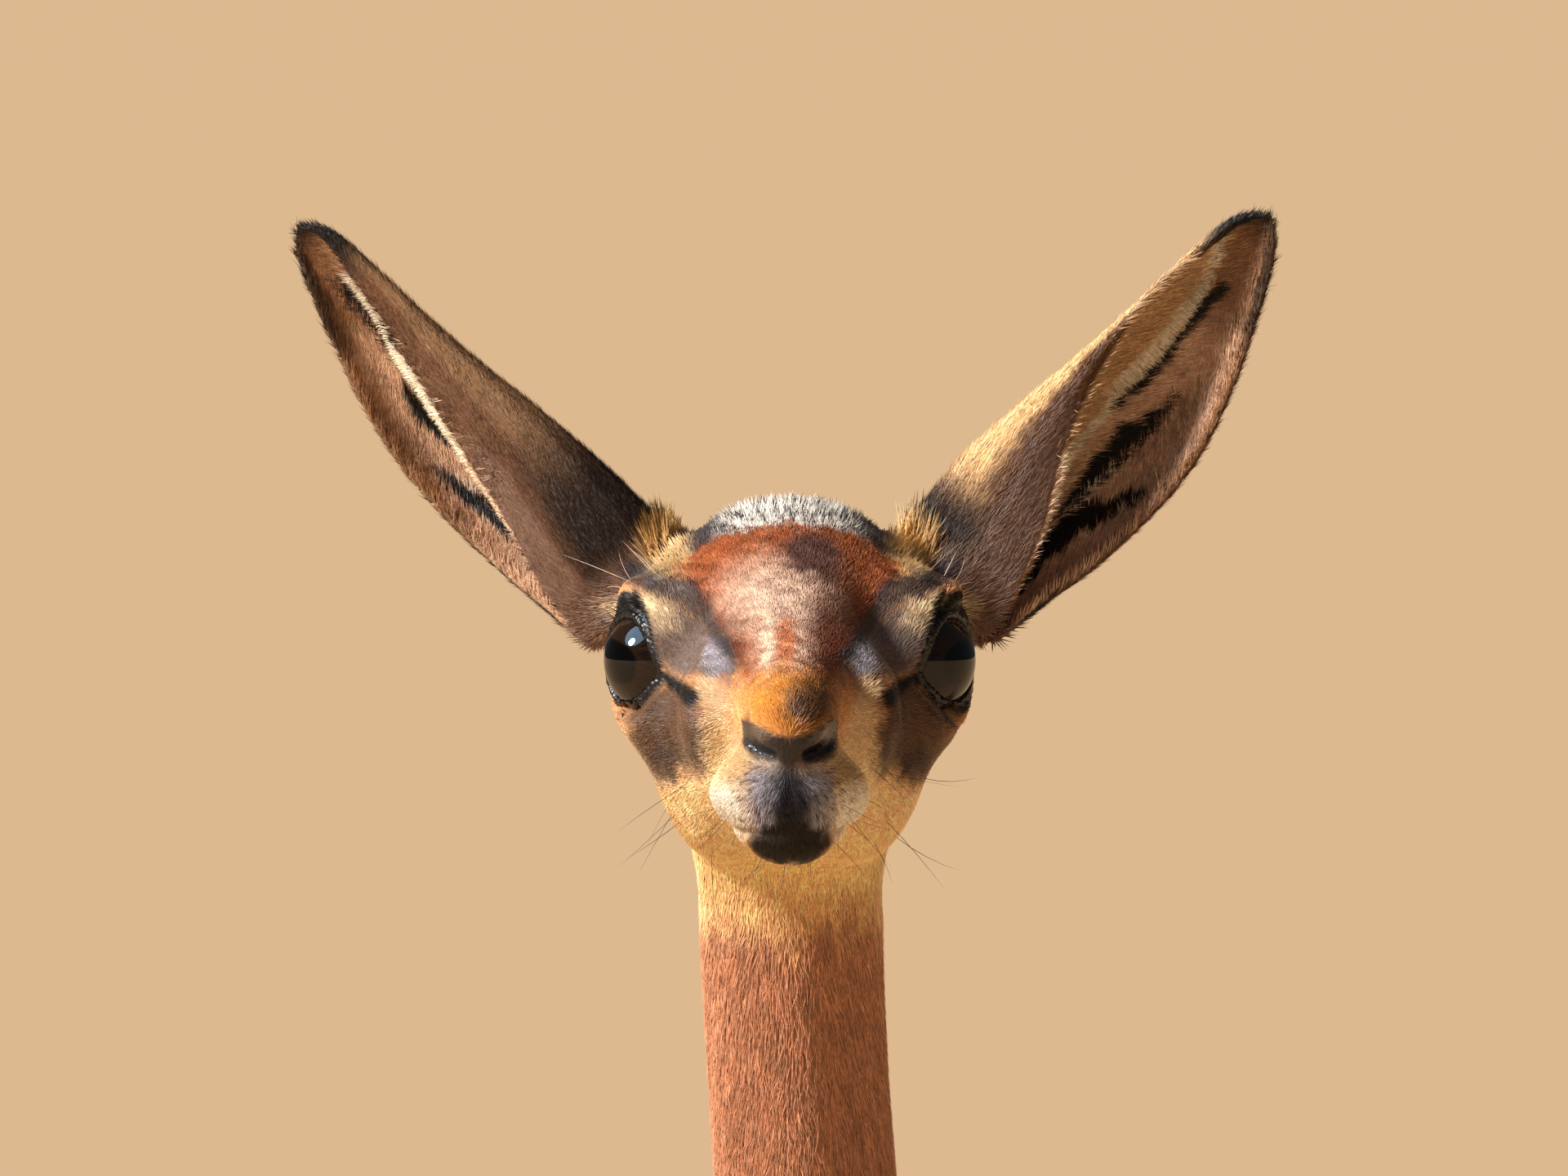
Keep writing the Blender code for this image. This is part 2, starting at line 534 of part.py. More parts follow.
def surface(grid, low, step):
    """Vertices and triangles of the zero surface, from six tetrahedra in each grid cell."""
    inside = grid < 0
    counts = np.array(grid.shape) - 1
    corners = np.indices((2, 2, 2)).reshape(3, -1).T
    views = [tuple(slice(c, c + n) for c, n in zip(corner, counts)) for corner in corners]
    full = sum(inside[view].astype(np.int8) for view in views)
    cells = np.argwhere((full > 0) & (full < 8))
    triples = []
    for order in itertools.permutations(range(3)):
        walk = [cells]
        for axis in order:
            walk.append(walk[-1] + np.eye(3, dtype=int)[axis])
        nodes = np.stack([np.ravel_multi_index(tuple(place.T), grid.shape) for place in walk], 1)
        within = inside.ravel()[nodes]
        for case in range(1, 15):
            pattern = [bool(case >> i & 1) for i in range(4)]
            found = nodes[(within == pattern).all(1)]
            inner = [i for i in range(4) if pattern[i]]
            outer = [i for i in range(4) if not pattern[i]]
            pairs = [(i, o) for i in inner for o in outer]
            if len(pairs) == 4:
                pairs = [pairs[0], pairs[1], pairs[3], pairs[2]]
            for group in ([0, 1, 2], [0, 2, 3])[: len(pairs) - 2]:
                triples.append(np.stack([found[:, pairs[i]] for i in group], 1))
    edges = np.concatenate(triples).reshape(-1, 2)
    unique, index = np.unique(edges, axis=0, return_inverse=True)
    start, end = (np.stack(np.unravel_index(unique[:, i], grid.shape), 1) for i in (0, 1))
    values = grid.ravel()[unique].astype(float)
    share = np.clip(values[:, 0] / (values[:, 0] - values[:, 1]), 0.08, 0.92)[:, None]
    vertices = np.asarray(low) + (start + share * (end - start)) * step
    triangles = index.reshape(-1, 3)
    spots = vertices[triangles]
    normals = np.cross(spots[:, 1] - spots[:, 0], spots[:, 2] - spots[:, 0])
    from_inside = spots.mean(1) - (np.asarray(low) + start[triangles[:, 0]] * step)
    backward = (normals * from_inside).sum(1) < 0
    triangles[backward] = triangles[backward][:, ::-1]
    return vertices, triangles


def settled(field, vertices, rounds=2, reach=0.0004, limit=0.002):
    """Vertices moved along the field's slope onto the surface."""
    for _ in range(rounds):
        value = field(vertices)
        slope = np.column_stack(
            [field(vertices + reach * axis) - field(vertices - reach * axis) for axis in np.eye(3)]
        ) / (2 * reach)
        size = np.maximum((slope**2).sum(1), 0.05)
        step = -slope * (value / size)[:, None]
        length = np.maximum(np.linalg.norm(step, axis=1), 1e-9)
        vertices = vertices + step * np.minimum(1.0, limit / length)[:, None]
    return vertices


def material(name, colour, roughness):
    made = bpy.data.materials.new(name)
    made.use_nodes = True
    shader = made.node_tree.nodes["Principled BSDF"]
    shader.inputs["Base Color"].default_value = (*colour, 1.0)
    shader.inputs["Roughness"].default_value = roughness
    shader.inputs["Metallic"].default_value = 0.0
    return made


def new_object(name, mesh, collection):
    made = bpy.data.objects.new(name, mesh)
    collection.objects.link(made)
    return made


def bake_modifiers(piece):
    """Replaces an object's mesh by what its modifiers make of it."""
    bpy.context.view_layer.update()
    depsgraph = bpy.context.evaluated_depsgraph_get()
    mesh = bpy.data.meshes.new_from_object(piece.evaluated_get(depsgraph))
    piece.modifiers.clear()
    piece.data = mesh


def keep_largest(mesh):
    """Drops every closed surface but the largest."""
    bm = bmesh.new()
    bm.from_mesh(mesh)
    left = set(bm.verts)
    shells = []
    while left:
        queue = [left.pop()]
        shell = set(queue)
        while queue:
            for edge in queue.pop().link_edges:
                for vert in edge.verts:
                    if vert in left:
                        left.discard(vert)
                        shell.add(vert)
                        queue.append(vert)
        shells.append(shell)
    shells.sort(key=len, reverse=True)
    loose = [vert for shell in shells[1:] for vert in shell]
    bmesh.ops.delete(bm, geom=loose, context="VERTS")
    bm.to_mesh(mesh)
    bm.free()


def upright_plane(cut, side):
    """A plane across the animal's middle plane, and the side of it that is kept."""
    point, facing = cut
    normal = Vector((0.0, *facing)).normalized() * side
    return Vector((0.0, *point)) + normal * GAP / 2, normal


def ear_plane(side_name, side):
    """The plane between an ear and the head, and the side of it that is kept."""
    along, _, _ = ear_frame()
    drop = math.radians(EAR_DROP_DEG[side_name])
    out = along[0] * math.cos(drop) + along[2] * math.sin(drop)
    up = along[2] * math.cos(drop) - along[0] * math.sin(drop)
    flip = SIDES[side_name]
    normal = Vector((flip * out, -along[1], up)).normalized()
    root = Vector((flip * EAR_ROOT[0] + HEAD_LEAN, -EYE_FORWARD - EAR_ROOT[1], EYE_HEIGHT + EAR_ROOT[2]))
    point = root + normal * EAR_CUT_AT
    return point + normal * side * GAP / 2, normal * side


def flesh_piece(name, box, step, planes, triangles, look, collection):
    """The part of the flesh inside a box and on the kept side of each plane, as one closed body."""
    low, high = np.array(box[0]), np.array(box[1])
    vertices, faces = surface(sampled(flesh_field, low, high, step), low, step)
    vertices = settled(flesh_field, vertices)
    mesh = bpy.data.meshes.new(name)
    mesh.from_pydata(vertices.tolist(), [], faces.tolist())
    piece = new_object(name, mesh, collection)
    part_planes(piece, planes, CUT_MARGIN_STEPS * step)
    keep_largest(piece.data)
    fine = sum(len(face.vertices) - 2 for face in piece.data.polygons)
    thinner = piece.modifiers.new("Thinner", "DECIMATE")
    thinner.ratio = min(1.0, triangles / fine)
    thinner.use_collapse_triangulate = True
    bake_modifiers(piece)
    part_planes(piece, planes, 0.0)
    finish_piece(piece, look)
    return piece


def part_planes(piece, planes, margin):
    """Cuts a mesh along planes: past them with a margin, or exactly and closed with flat ends."""
    bm = bmesh.new()
    bm.from_mesh(piece.data)
    for point, normal in planes:
        everything = bm.verts[:] + bm.edges[:] + bm.faces[:]
        plane = {"plane_co": point - normal * margin, "plane_no": normal}
        cut = bmesh.ops.bisect_plane(bm, geom=everything, dist=1e-7, clear_inner=True, **plane)
        if not margin:
            edges = [item for item in cut["geom_cut"] if isinstance(item, bmesh.types.BMEdge)]
            bmesh.ops.triangle_fill(bm, use_beauty=True, edges=edges, normal=-normal)
    if not margin:
        bmesh.ops.dissolve_degenerate(bm, dist=2e-5, edges=bm.edges)
        bmesh.ops.triangulate(bm, faces=bm.faces)
        bmesh.ops.recalc_face_normals(bm, faces=bm.faces)
    bm.to_mesh(piece.data)
    bm.free()


def finish_piece(piece, look):
    piece.data.materials.clear()
    piece.data.materials.append(look)
    piece.data.shade_smooth()
    piece.data.set_sharp_from_angle(angle=math.radians(SHARP_DEG))


def eye_place(flip):
    across, ahead, up = EYE_CENTRE
    return Vector((flip * across + HEAD_LEAN, -EYE_FORWARD - ahead, EYE_HEIGHT + up))


def ball(name, flip, radius, collection):
    """An eyeball's sphere with its pole at the pupil."""
    bm = bmesh.new()
    bmesh.ops.create_uvsphere(bm, u_segments=20, v_segments=12, radius=radius)
    bmesh.ops.triangulate(bm, faces=bm.faces)
    mesh = bpy.data.meshes.new(name)
    bm.to_mesh(mesh)
    bm.free()
    made = new_object(name, mesh, collection)
    outward, _, _ = eye_frame()
    gaze = Vector((flip * outward[0], -outward[1], outward[2]))
    made.rotation_mode = "QUATERNION"
    made.rotation_quaternion = gaze.to_track_quat("Z", "Y")
    made.location = eye_place(flip)
    return made


def cut_socket(head, flip, cutters):
    cutter = ball("socket_cutter", flip, EYE_RADIUS + GAP, cutters)
    cutter.hide_render = True
    cutter.display_type = "WIRE"
    socket = head.modifiers.new("Socket", "BOOLEAN")
    socket.operation = "DIFFERENCE"
    socket.object = cutter
    socket.solver = "EXACT"
    bake_modifiers(head)


def claw(name, foot, flip, side, collection):
    """One claw: from its flat sole up to a smaller outline on the sloping coronet."""
    legs = foot.split("_")[0]
    middle_y = FOOT_Y[legs] + STRIDE[foot]
    bm = bmesh.new()
    rings = [[], []]
    for out, ahead in CLAW:
        top_out = out * CLAW_TOP_SCALE + CLEFT
        top_ahead = ahead * CLAW_TOP_SCALE + CLAW_TOP_SHIFT
        x = flip * FOOT_X + side * (out + CLEFT)
        top_x = flip * FOOT_X + side * top_out
        top_z = CORONET_HEIGHT + CORONET_SLOPE * top_ahead - GAP
        rings[0].append(bm.verts.new((x, middle_y - ahead, 0.0)))
        rings[1].append(bm.verts.new((top_x, middle_y - top_ahead, top_z)))
    for i in range(len(CLAW)):
        after = (i + 1) % len(CLAW)
        bm.faces.new((rings[0][i], rings[0][after], rings[1][after], rings[1][i]))
    bm.faces.new(rings[0])
    bm.faces.new(rings[1])
    bmesh.ops.triangulate(bm, faces=bm.faces)
    bmesh.ops.recalc_face_normals(bm, faces=bm.faces)
    mesh = bpy.data.meshes.new(name)
    bm.to_mesh(mesh)
    bm.free()
    return new_object(name, mesh, collection)


def coronet_cut(foot):
    legs = foot.split("_")[0]
    return ((FOOT_Y[legs] + STRIDE[foot], CORONET_HEIGHT), (CORONET_SLOPE, 1.0))


def lock(name, angle, row, draw, collection):
    """One flat lock of the tuft: from inside the core down and outward, tapering to its tip."""
    out = Vector((math.sin(angle), math.cos(angle), 0.0))
    beside = Vector((math.cos(angle), -math.sin(angle), 0.0))
    length = LOCK_LENGTH * draw.uniform(*LOCK_LENGTHS)
    spread = draw.uniform(*LOCK_SPREADS)
    sway = draw.uniform(*LOCK_SWAYS)
    start_z = TUFT_TOP - ROW_START - row * ROW_DROP
    root_out = TUFT_CORE_RADIUS * (1.0 - row * ROW_NARROWING) - ROOT_SUNK
    bm = bmesh.new()
    rings = []
    for i in range(LOCK_RINGS):
        share = i / LOCK_RINGS
        middle = Vector((0.0, TAIL[-1][1], start_z - length * share))
        middle += out * (root_out + spread * math.sin(share * LOCK_BEND)) + beside * sway * share * share
        width = LOCK_WIDTH / 2 * (1.0 - share**1.6) ** 0.7
        thick = LOCK_THICKNESS / 2 * (1.0 - 0.5 * share)
        corners = (beside * width, out * thick, -beside * width, -out * thick)
        rings.append([bm.verts.new(middle + corner) for corner in corners])
    tip = Vector((0.0, TAIL[-1][1], start_z - length))
    tip += out * (root_out + spread * math.sin(LOCK_BEND)) + beside * sway
    tip_vert = bm.verts.new(tip)
    for ring, after in zip(rings, rings[1:]):
        for i in range(4):
            bm.faces.new((ring[i], ring[(i + 1) % 4], after[(i + 1) % 4], after[i]))
    for i in range(4):
        bm.faces.new((rings[-1][i], rings[-1][(i + 1) % 4], tip_vert))
    bm.faces.new(rings[0])
    bmesh.ops.triangulate(bm, faces=bm.faces)
    bmesh.ops.recalc_face_normals(bm, faces=bm.faces)
    mesh = bpy.data.meshes.new(name)
    bm.to_mesh(mesh)
    bm.free()
    return new_object(name, mesh, collection)


def tail_tuft(look, collection, locks):
    """The tuft: a slim core with rows of locks sunk into it."""
    bm = bmesh.new()
    core_top = TUFT_TOP - GAP / 2
    depth = core_top - TUFT_CORE_TIP
    place = Matrix.Translation((0.0, TAIL[-1][1], core_top - depth / 2))
    ends = {"radius1": TUFT_CORE_END, "radius2": TUFT_CORE_RADIUS}
    bmesh.ops.create_cone(bm, cap_ends=True, segments=10, depth=depth, matrix=place, **ends)
    mesh = bpy.data.meshes.new("tail_tuft")
    bm.to_mesh(mesh)
    bm.free()
    tuft = new_object("tail_tuft", mesh, collection)
    draw = random.Random(LOCK_SEED)
    for row in range(TUFT_ROWS):
        for i in range(TUFT_LOCKS - row):
            angle = math.tau * (i + 0.5 * row + draw.uniform(*LOCK_TURNS)) / (TUFT_LOCKS - row)
            lock(f"lock_{row}_{i}", angle, row, draw, locks)
    joined = tuft.modifiers.new("Locks", "BOOLEAN")
    joined.operation = "UNION"
    joined.operand_type = "COLLECTION"
    joined.collection = locks
    joined.solver = "EXACT"
    bake_modifiers(tuft)
    for piece in list(locks.objects):
        bpy.data.objects.remove(piece)
    keep_largest(tuft.data)
    triangulated(tuft.data)
    finish_piece(tuft, look)
    return tuft


def triangulated(mesh):
    bm = bmesh.new()
    bm.from_mesh(mesh)
    bmesh.ops.triangulate(bm, faces=bm.faces)
    bm.to_mesh(mesh)
    bm.free()


def make_head(coat, wet, animal, cutters):
    planes = [upright_plane(NECK_HEAD_CUT, 1), ear_plane("left", -1), ear_plane("right", -1)]
    head = flesh_piece("head", HEAD_BOX, HEAD_STEP, planes, HEAD_TRIANGLES, coat, animal)
    for side_name, flip in SIDES.items():
        cut_socket(head, flip, cutters)
        eye = ball("eye_" + side_name, flip, EYE_RADIUS, animal)
        finish_piece(eye, wet)
    keep_largest(head.data)
    triangulated(head.data)
    finish_piece(head, coat)


def make_trunk(coat, animal):
    """Neck, torso and tail."""
    planes = [upright_plane(NECK_HEAD_CUT, -1), upright_plane(TORSO_NECK_CUT, 1)]
    flesh_piece("neck", NECK_BOX, NECK_STEP, planes, NECK_TRIANGLES, coat, animal)
    planes = [upright_plane(cut, -1) for cut in (TORSO_NECK_CUT, TAIL_CUT, FORELEG_CUT, HINDLEG_CUT)]
    flesh_piece("torso", TORSO_BOX, TORSO_STEP, planes, TORSO_TRIANGLES, coat, animal)
    planes = [upright_plane(TAIL_CUT, 1), upright_plane(TUFT_CUT, -1)]
    flesh_piece("tail", TAIL_BOX, TAIL_STEP, planes, TAIL_TRIANGLES, coat, animal)


def make_leg(foot, pale, animal):
    """One leg in two pieces, above and below the knee or hock."""
    legs, side_name = foot.split("_")
    flip = SIDES[side_name]
    top_cut, joint_cut = LEG_CUTS[legs]
    joint_height = joint_cut[0][1]
    near, far = sorted(flip * x for x in LEG_X)
    front, back = LEG_Y[legs]
    box = ((near, front, joint_height - LEG_PAST_CUT), (far, back, LEG_TOP))
    planes = [upright_plane(top_cut, 1), upright_plane(joint_cut, -1)]
    name = f"{legs}leg_{side_name}_upper"
    flesh_piece(name, box, UPPER_LEG_STEP, planes, UPPER_LEG_TRIANGLES, pale, animal)
    box = ((near, front, 0.0), (far, back, joint_height + LEG_PAST_CUT))
    planes = [upright_plane(joint_cut, 1), upright_plane(coronet_cut(foot), 1)]
    name = f"{legs}leg_{side_name}_lower"
    flesh_piece(name, box, LOWER_LEG_STEP, planes, LOWER_LEG_TRIANGLES, pale, animal)


def main():
    for old in list(bpy.data.objects):
        bpy.data.objects.remove(old)
    scene = bpy.context.scene
    animal, cutters, locks = (bpy.data.collections.new(name) for name in ("gerenuk", "cutters", "locks"))
    for collection in (animal, cutters, locks):
        scene.collection.children.link(collection)
    coat = material("coat", (0.42, 0.20, 0.09), 0.75)
    pale = material("leg coat", (0.52, 0.30, 0.15), 0.75)
    ear_coat = material("ear coat", (0.30, 0.18, 0.10), 0.75)
    dark = material("dark hair", (0.035, 0.022, 0.016), 0.65)
    horn = material("hoof horn", (0.05, 0.04, 0.035), 0.45)
    wet = material("eyeball", (0.012, 0.008, 0.006), 0.08)

    make_head(coat, wet, animal, cutters)
    for side_name, box in EAR_BOXES.items():
        name, planes = "ear_" + side_name, [ear_plane(side_name, 1)]
        flesh_piece(name, box, EAR_STEP, planes, EAR_TRIANGLES, ear_coat, animal)
    make_trunk(coat, animal)
    tail_tuft(dark, animal, locks)
    bpy.data.collections.remove(locks)
    for foot in STRIDE:
        make_leg(foot, pale, animal)
        flip = SIDES[foot.split("_")[1]]
        for claw_name, side in (("outer", flip), ("inner", -flip)):
            hoof = claw(f"hoof_{foot}_{claw_name}", foot, flip, side, animal)
            finish_piece(hoof, horn)
    centre_on_floor(animal)


def centre_on_floor(animal):
    """Moves the pieces together, so that the box about them all is centred over the origin."""
    bpy.context.view_layer.update()
    corners = []
    for piece in animal.objects:
        corners += [piece.matrix_world @ vertex.co for vertex in piece.data.vertices]
    low = Vector(min(corner[i] for corner in corners) for i in range(3))
    high = Vector(max(corner[i] for corner in corners) for i in range(3))
    shift = Vector((-(low.x + high.x) / 2, -(low.y + high.y) / 2, -low.z))
    for piece in animal.objects:
        piece.location += shift


if __name__ == "__main__":
    main()
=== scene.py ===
"""The gerenuk's looks: one skin, its coat in tufts, eyes, hooves, floor, light and camera.

Metres, +Z up. The first tables and functions are the same form as the solids have: the flesh is
where the field is negative. The skin lies inside that form by the depth of the coat.
"""

import math
from collections import namedtuple

import bmesh
import bpy
import numpy as np
from mathutils import Matrix, Vector


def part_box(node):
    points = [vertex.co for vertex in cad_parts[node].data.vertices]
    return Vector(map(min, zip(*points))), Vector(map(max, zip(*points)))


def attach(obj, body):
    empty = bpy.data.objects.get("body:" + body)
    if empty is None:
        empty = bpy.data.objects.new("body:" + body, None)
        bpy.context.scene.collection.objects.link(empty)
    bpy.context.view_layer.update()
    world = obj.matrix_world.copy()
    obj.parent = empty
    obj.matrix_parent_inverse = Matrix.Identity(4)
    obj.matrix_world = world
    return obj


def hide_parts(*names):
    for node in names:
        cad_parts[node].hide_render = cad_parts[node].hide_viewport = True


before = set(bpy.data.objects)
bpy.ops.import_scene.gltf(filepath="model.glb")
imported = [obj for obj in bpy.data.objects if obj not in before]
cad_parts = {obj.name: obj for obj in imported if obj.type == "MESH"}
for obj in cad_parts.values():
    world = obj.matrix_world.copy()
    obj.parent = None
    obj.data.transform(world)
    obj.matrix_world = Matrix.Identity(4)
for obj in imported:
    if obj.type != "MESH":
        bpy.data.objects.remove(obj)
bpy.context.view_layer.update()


EYE_FORWARD = 0.455
EYE_HEIGHT = 1.335
HEAD_LEAN = -0.016
LEAN_FROM, LEAN_TO = 1.00, 1.285

# Trunk: distance behind the origin, centre height, half width, half depth.
TRUNK = (
    (-0.262, 0.786, 0.036, 0.050),
    (-0.238, 0.775, 0.058, 0.088),
    (-0.200, 0.762, 0.077, 0.121),
    (-0.120, 0.749, 0.091, 0.146),
    (0.000, 0.742, 0.102, 0.147),
    (0.100, 0.742, 0.107, 0.140),
    (0.200, 0.749, 0.106, 0.129),
    (0.290, 0.762, 0.097, 0.115),
    (0.370, 0.776, 0.086, 0.106),
    (0.425, 0.784, 0.070, 0.090),
    (0.465, 0.788, 0.045, 0.064),
)
# Neck: the same, from the chest up to the skull.
NECK = (
    (-0.165, 0.770, 0.066, 0.100),
    (-0.225, 0.845, 0.055, 0.083),
    (-0.285, 0.935, 0.0400, 0.0590),
    (-0.332, 1.030, 0.0318, 0.0460),
    (-0.366, 1.130, 0.0276, 0.0385),
    (-0.387, 1.215, 0.0262, 0.0355),
    (-0.400, 1.285, 0.0270, 0.0350),
    (-0.408, 1.330, 0.0280, 0.0340),
)
# Muscles over the trunk, one of each pair: centre, radii, pitch in degrees, blend.
MUSCLES = (
    ((0.060, -0.185, 0.765), (0.038, 0.058, 0.130), -22, 0.040),
    ((0.060, -0.205, 0.715), (0.028, 0.042, 0.050), 0, 0.034),
    ((0.068, -0.145, 0.650), (0.029, 0.048, 0.062), 15, 0.030),
    ((0.050, 0.390, 0.802), (0.042, 0.090, 0.064), -10, 0.040),
    ((0.060, 0.410, 0.712), (0.043, 0.074, 0.125), -10, 0.040),
    ((0.064, 0.352, 0.650), (0.034, 0.044, 0.070), -22, 0.035),
)
# Legs: sideways, behind the origin, height, half width, half depth, from the body to the coronet.
FORELEG = (
    (0.070, -0.150, 0.665, 0.030, 0.048),
    (0.071, -0.160, 0.590, 0.0255, 0.0350),
    (0.070, -0.172, 0.500, 0.0195, 0.0245),
    (0.069, -0.180, 0.410, 0.0160, 0.0180),
    (0.068, -0.184, 0.362, 0.0180, 0.0195),
    (0.068, -0.184, 0.330, 0.0172, 0.0185),
    (0.067, -0.180, 0.295, 0.0125, 0.0140),
    (0.067, -0.181, 0.200, 0.0102, 0.0122),
    (0.067, -0.182, 0.115, 0.0106, 0.0126),
    (0.067, -0.181, 0.086, 0.0134, 0.0158),
    (0.067, -0.191, 0.056, 0.0118, 0.0128),
    (0.067, -0.200, 0.024, 0.0150, 0.0165),
)
HINDLEG = (
    (0.066, 0.365, 0.690, 0.042, 0.070),
    (0.070, 0.372, 0.610, 0.0330, 0.0560),
    (0.070, 0.420, 0.520, 0.0240, 0.0360),
    (0.068, 0.472, 0.440, 0.0165, 0.0225),
    (0.067, 0.500, 0.398, 0.0168, 0.0225),
    (0.067, 0.499, 0.365, 0.0150, 0.0195),
    (0.067, 0.488, 0.300, 0.0120, 0.0148),
    (0.067, 0.476, 0.200, 0.0108, 0.0134),
    (0.067, 0.467, 0.120, 0.0112, 0.0134),
    (0.067, 0.464, 0.088, 0.0138, 0.0162),
    (0.067, 0.453, 0.057, 0.0120, 0.0130),
    (0.067, 0.444, 0.024, 0.0152, 0.0168),
)
HOCK_POINT = ((0.067, 0.513, 0.418), (0.0095, 0.0100, 0.0240), 14, 0.018)
# How far each foot stands behind its place in the tables, and the height where that step begins.
STRIDE = {"fore_left": -0.022, "fore_right": 0.012, "hind_left": 0.030, "hind_right": -0.020}
STRIDE_FROM = 0.56

TAIL = (
    (0.0, 0.470, 0.848, 0.0190, 0.0150),
    (0.0, 0.515, 0.838, 0.0145, 0.0125),
    (0.0, 0.546, 0.812, 0.0112, 0.0105),
    (0.0, 0.562, 0.768, 0.0092, 0.0090),
    (0.0, 0.569, 0.715, 0.0080, 0.0078),
    (0.0, 0.571, 0.660, 0.0072, 0.0070),
    (0.0, 0.571, 0.640, 0.0070, 0.0068),
)

# Hooves: the middle of each foot behind the origin, the coronet's height there and its slope.
FOOT_Y = {"fore": -0.203, "hind": 0.441}
FOOT_X = 0.067
CORONET_HEIGHT, CORONET_SLOPE = 0.026, 0.30
CLEFT = 0.0007
# Outline of one claw's sole: out from the cleft, ahead of the foot's middle.
CLAW = (
    (0.0030, 0.0275),
    (0.0085, 0.0190),
    (0.0130, 0.0070),
    (0.0148, -0.0060),
    (0.0125, -0.0165),
    (0.0070, -0.0205),
    (0.0018, -0.0170),
    (0.0000, -0.0060),
    (0.0000, 0.0130),
)
CLAW_TOP_SCALE, CLAW_TOP_SHIFT = 0.80, -0.0035

# Above this height the field is the head's, below it the body's. Both are plain neck here.
NECK_CHANGEOVER = 1.19

# The head is measured from the point midway between the eyeballs: across, ahead (towards -Y), up.
CRANIUM = ((0.0, -0.030, 0.0085), (0.0405, 0.0480, 0.0315))
NOSE_LINE = (
    (0.0, -0.030, 0.0150, 0.0320, 0.0260),
    (0.0, 0.005, 0.0125, 0.0270, 0.0215),
    (0.0, 0.035, 0.0040, 0.0200, 0.0180),
    (0.0, 0.065, -0.0050, 0.0162, 0.0155),
    (0.0, 0.090, -0.0115, 0.0142, 0.0140),
    (0.0, 0.107, -0.0155, 0.0128, 0.0125),
)
JAW = (
    (0.0, -0.045, -0.0330, 0.0235, 0.0240),
    (0.0, -0.012, -0.0350, 0.0260, 0.0235),
    (0.0, 0.025, -0.0350, 0.0215, 0.0185),
    (0.0, 0.060, -0.0345, 0.0178, 0.0155),
    (0.0, 0.086, -0.0365, 0.0162, 0.0140),
    (0.0, 0.098, -0.0400, 0.0132, 0.0120),
)
# One of each pair: centre, radii, (pitch, roll, yaw) in degrees, blend.
FACE_FORMS = (
    ((0.0250, -0.008, -0.0260), (0.0150, 0.0340, 0.0310), (0, 12, -4), 0.014),
    ((0.0310, 0.001, 0.0010), (0.0185, 0.0270, 0.0225), (0, 0, -10), 0.012),
    ((0.0345, -0.003, 0.0165), (0.0135, 0.0220, 0.0075), (0, -14, -12), 0.008),
    ((0.0330, -0.002, -0.0165), (0.0110, 0.0270, 0.0080), (8, 0, -14), 0.014),
    ((0.0175, 0.036, -0.0150), (0.0130, 0.0370, 0.0180), (12, 0, -10), 0.016),
    ((0.0400, -0.046, 0.0150), (0.0170, 0.0170, 0.0200), (0, 40, 0), 0.014),
)
MUZZLE_FORMS = (
    ((0.0, 0.0930, -0.0330), (0.0225, 0.0230, 0.0130), 0.008),
    ((0.0, 0.0950, -0.0440), (0.0112, 0.0135, 0.0084), 0.005),
)

EYE_CENTRE = (0.0352, 0.002, 0.0)
EYE_RADIUS = 0.0165
LID_THICKNESS = 0.0022
LID_BLEND = 0.0060
EYE_AHEAD_DEG = 33
EYE_TILT_DEG = 15
OPENING_HALF_LENGTH, OPENING_HALF_HEIGHT = 0.84, 0.76
TEAR_GROOVE = ((0.0300, 0.0190, -0.0065, 0.0016, 0.0016), (0.0258, 0.0330, -0.0110, 0.0020, 0.0020))
# Nostrils are cut as slits, so many times deeper than they are wide.
SLIT_DEPTH = 5.0
NOSTRIL = (
    (0.0126, 0.1100, -0.0118, 0.0012, 0.0012),
    (0.0126, 0.1130, -0.0165, 0.0021, 0.0021),
    (0.0100, 0.1160, -0.0205, 0.0022, 0.0022),
    (0.0052, 0.1180, -0.0222, 0.0013, 0.0013),
)
MOUTH = (
    (0.0, 0.1130, -0.0450, 0.0012, 0.0012),
    (0.0080, 0.1100, -0.0448, 0.0012, 0.0012),
    (0.0150, 0.1000, -0.0435, 0.0012, 0.0012),
    (0.0185, 0.0800, -0.0415, 0.0011, 0.0011),
    (0.0190, 0.0600, -0.0390, 0.0009, 0.0009),
)
PHILTRUM = ((0.0, 0.1190, -0.0260, 0.0010, 0.0010), (0.0, 0.1150, -0.0430, 0.0010, 0.0010))

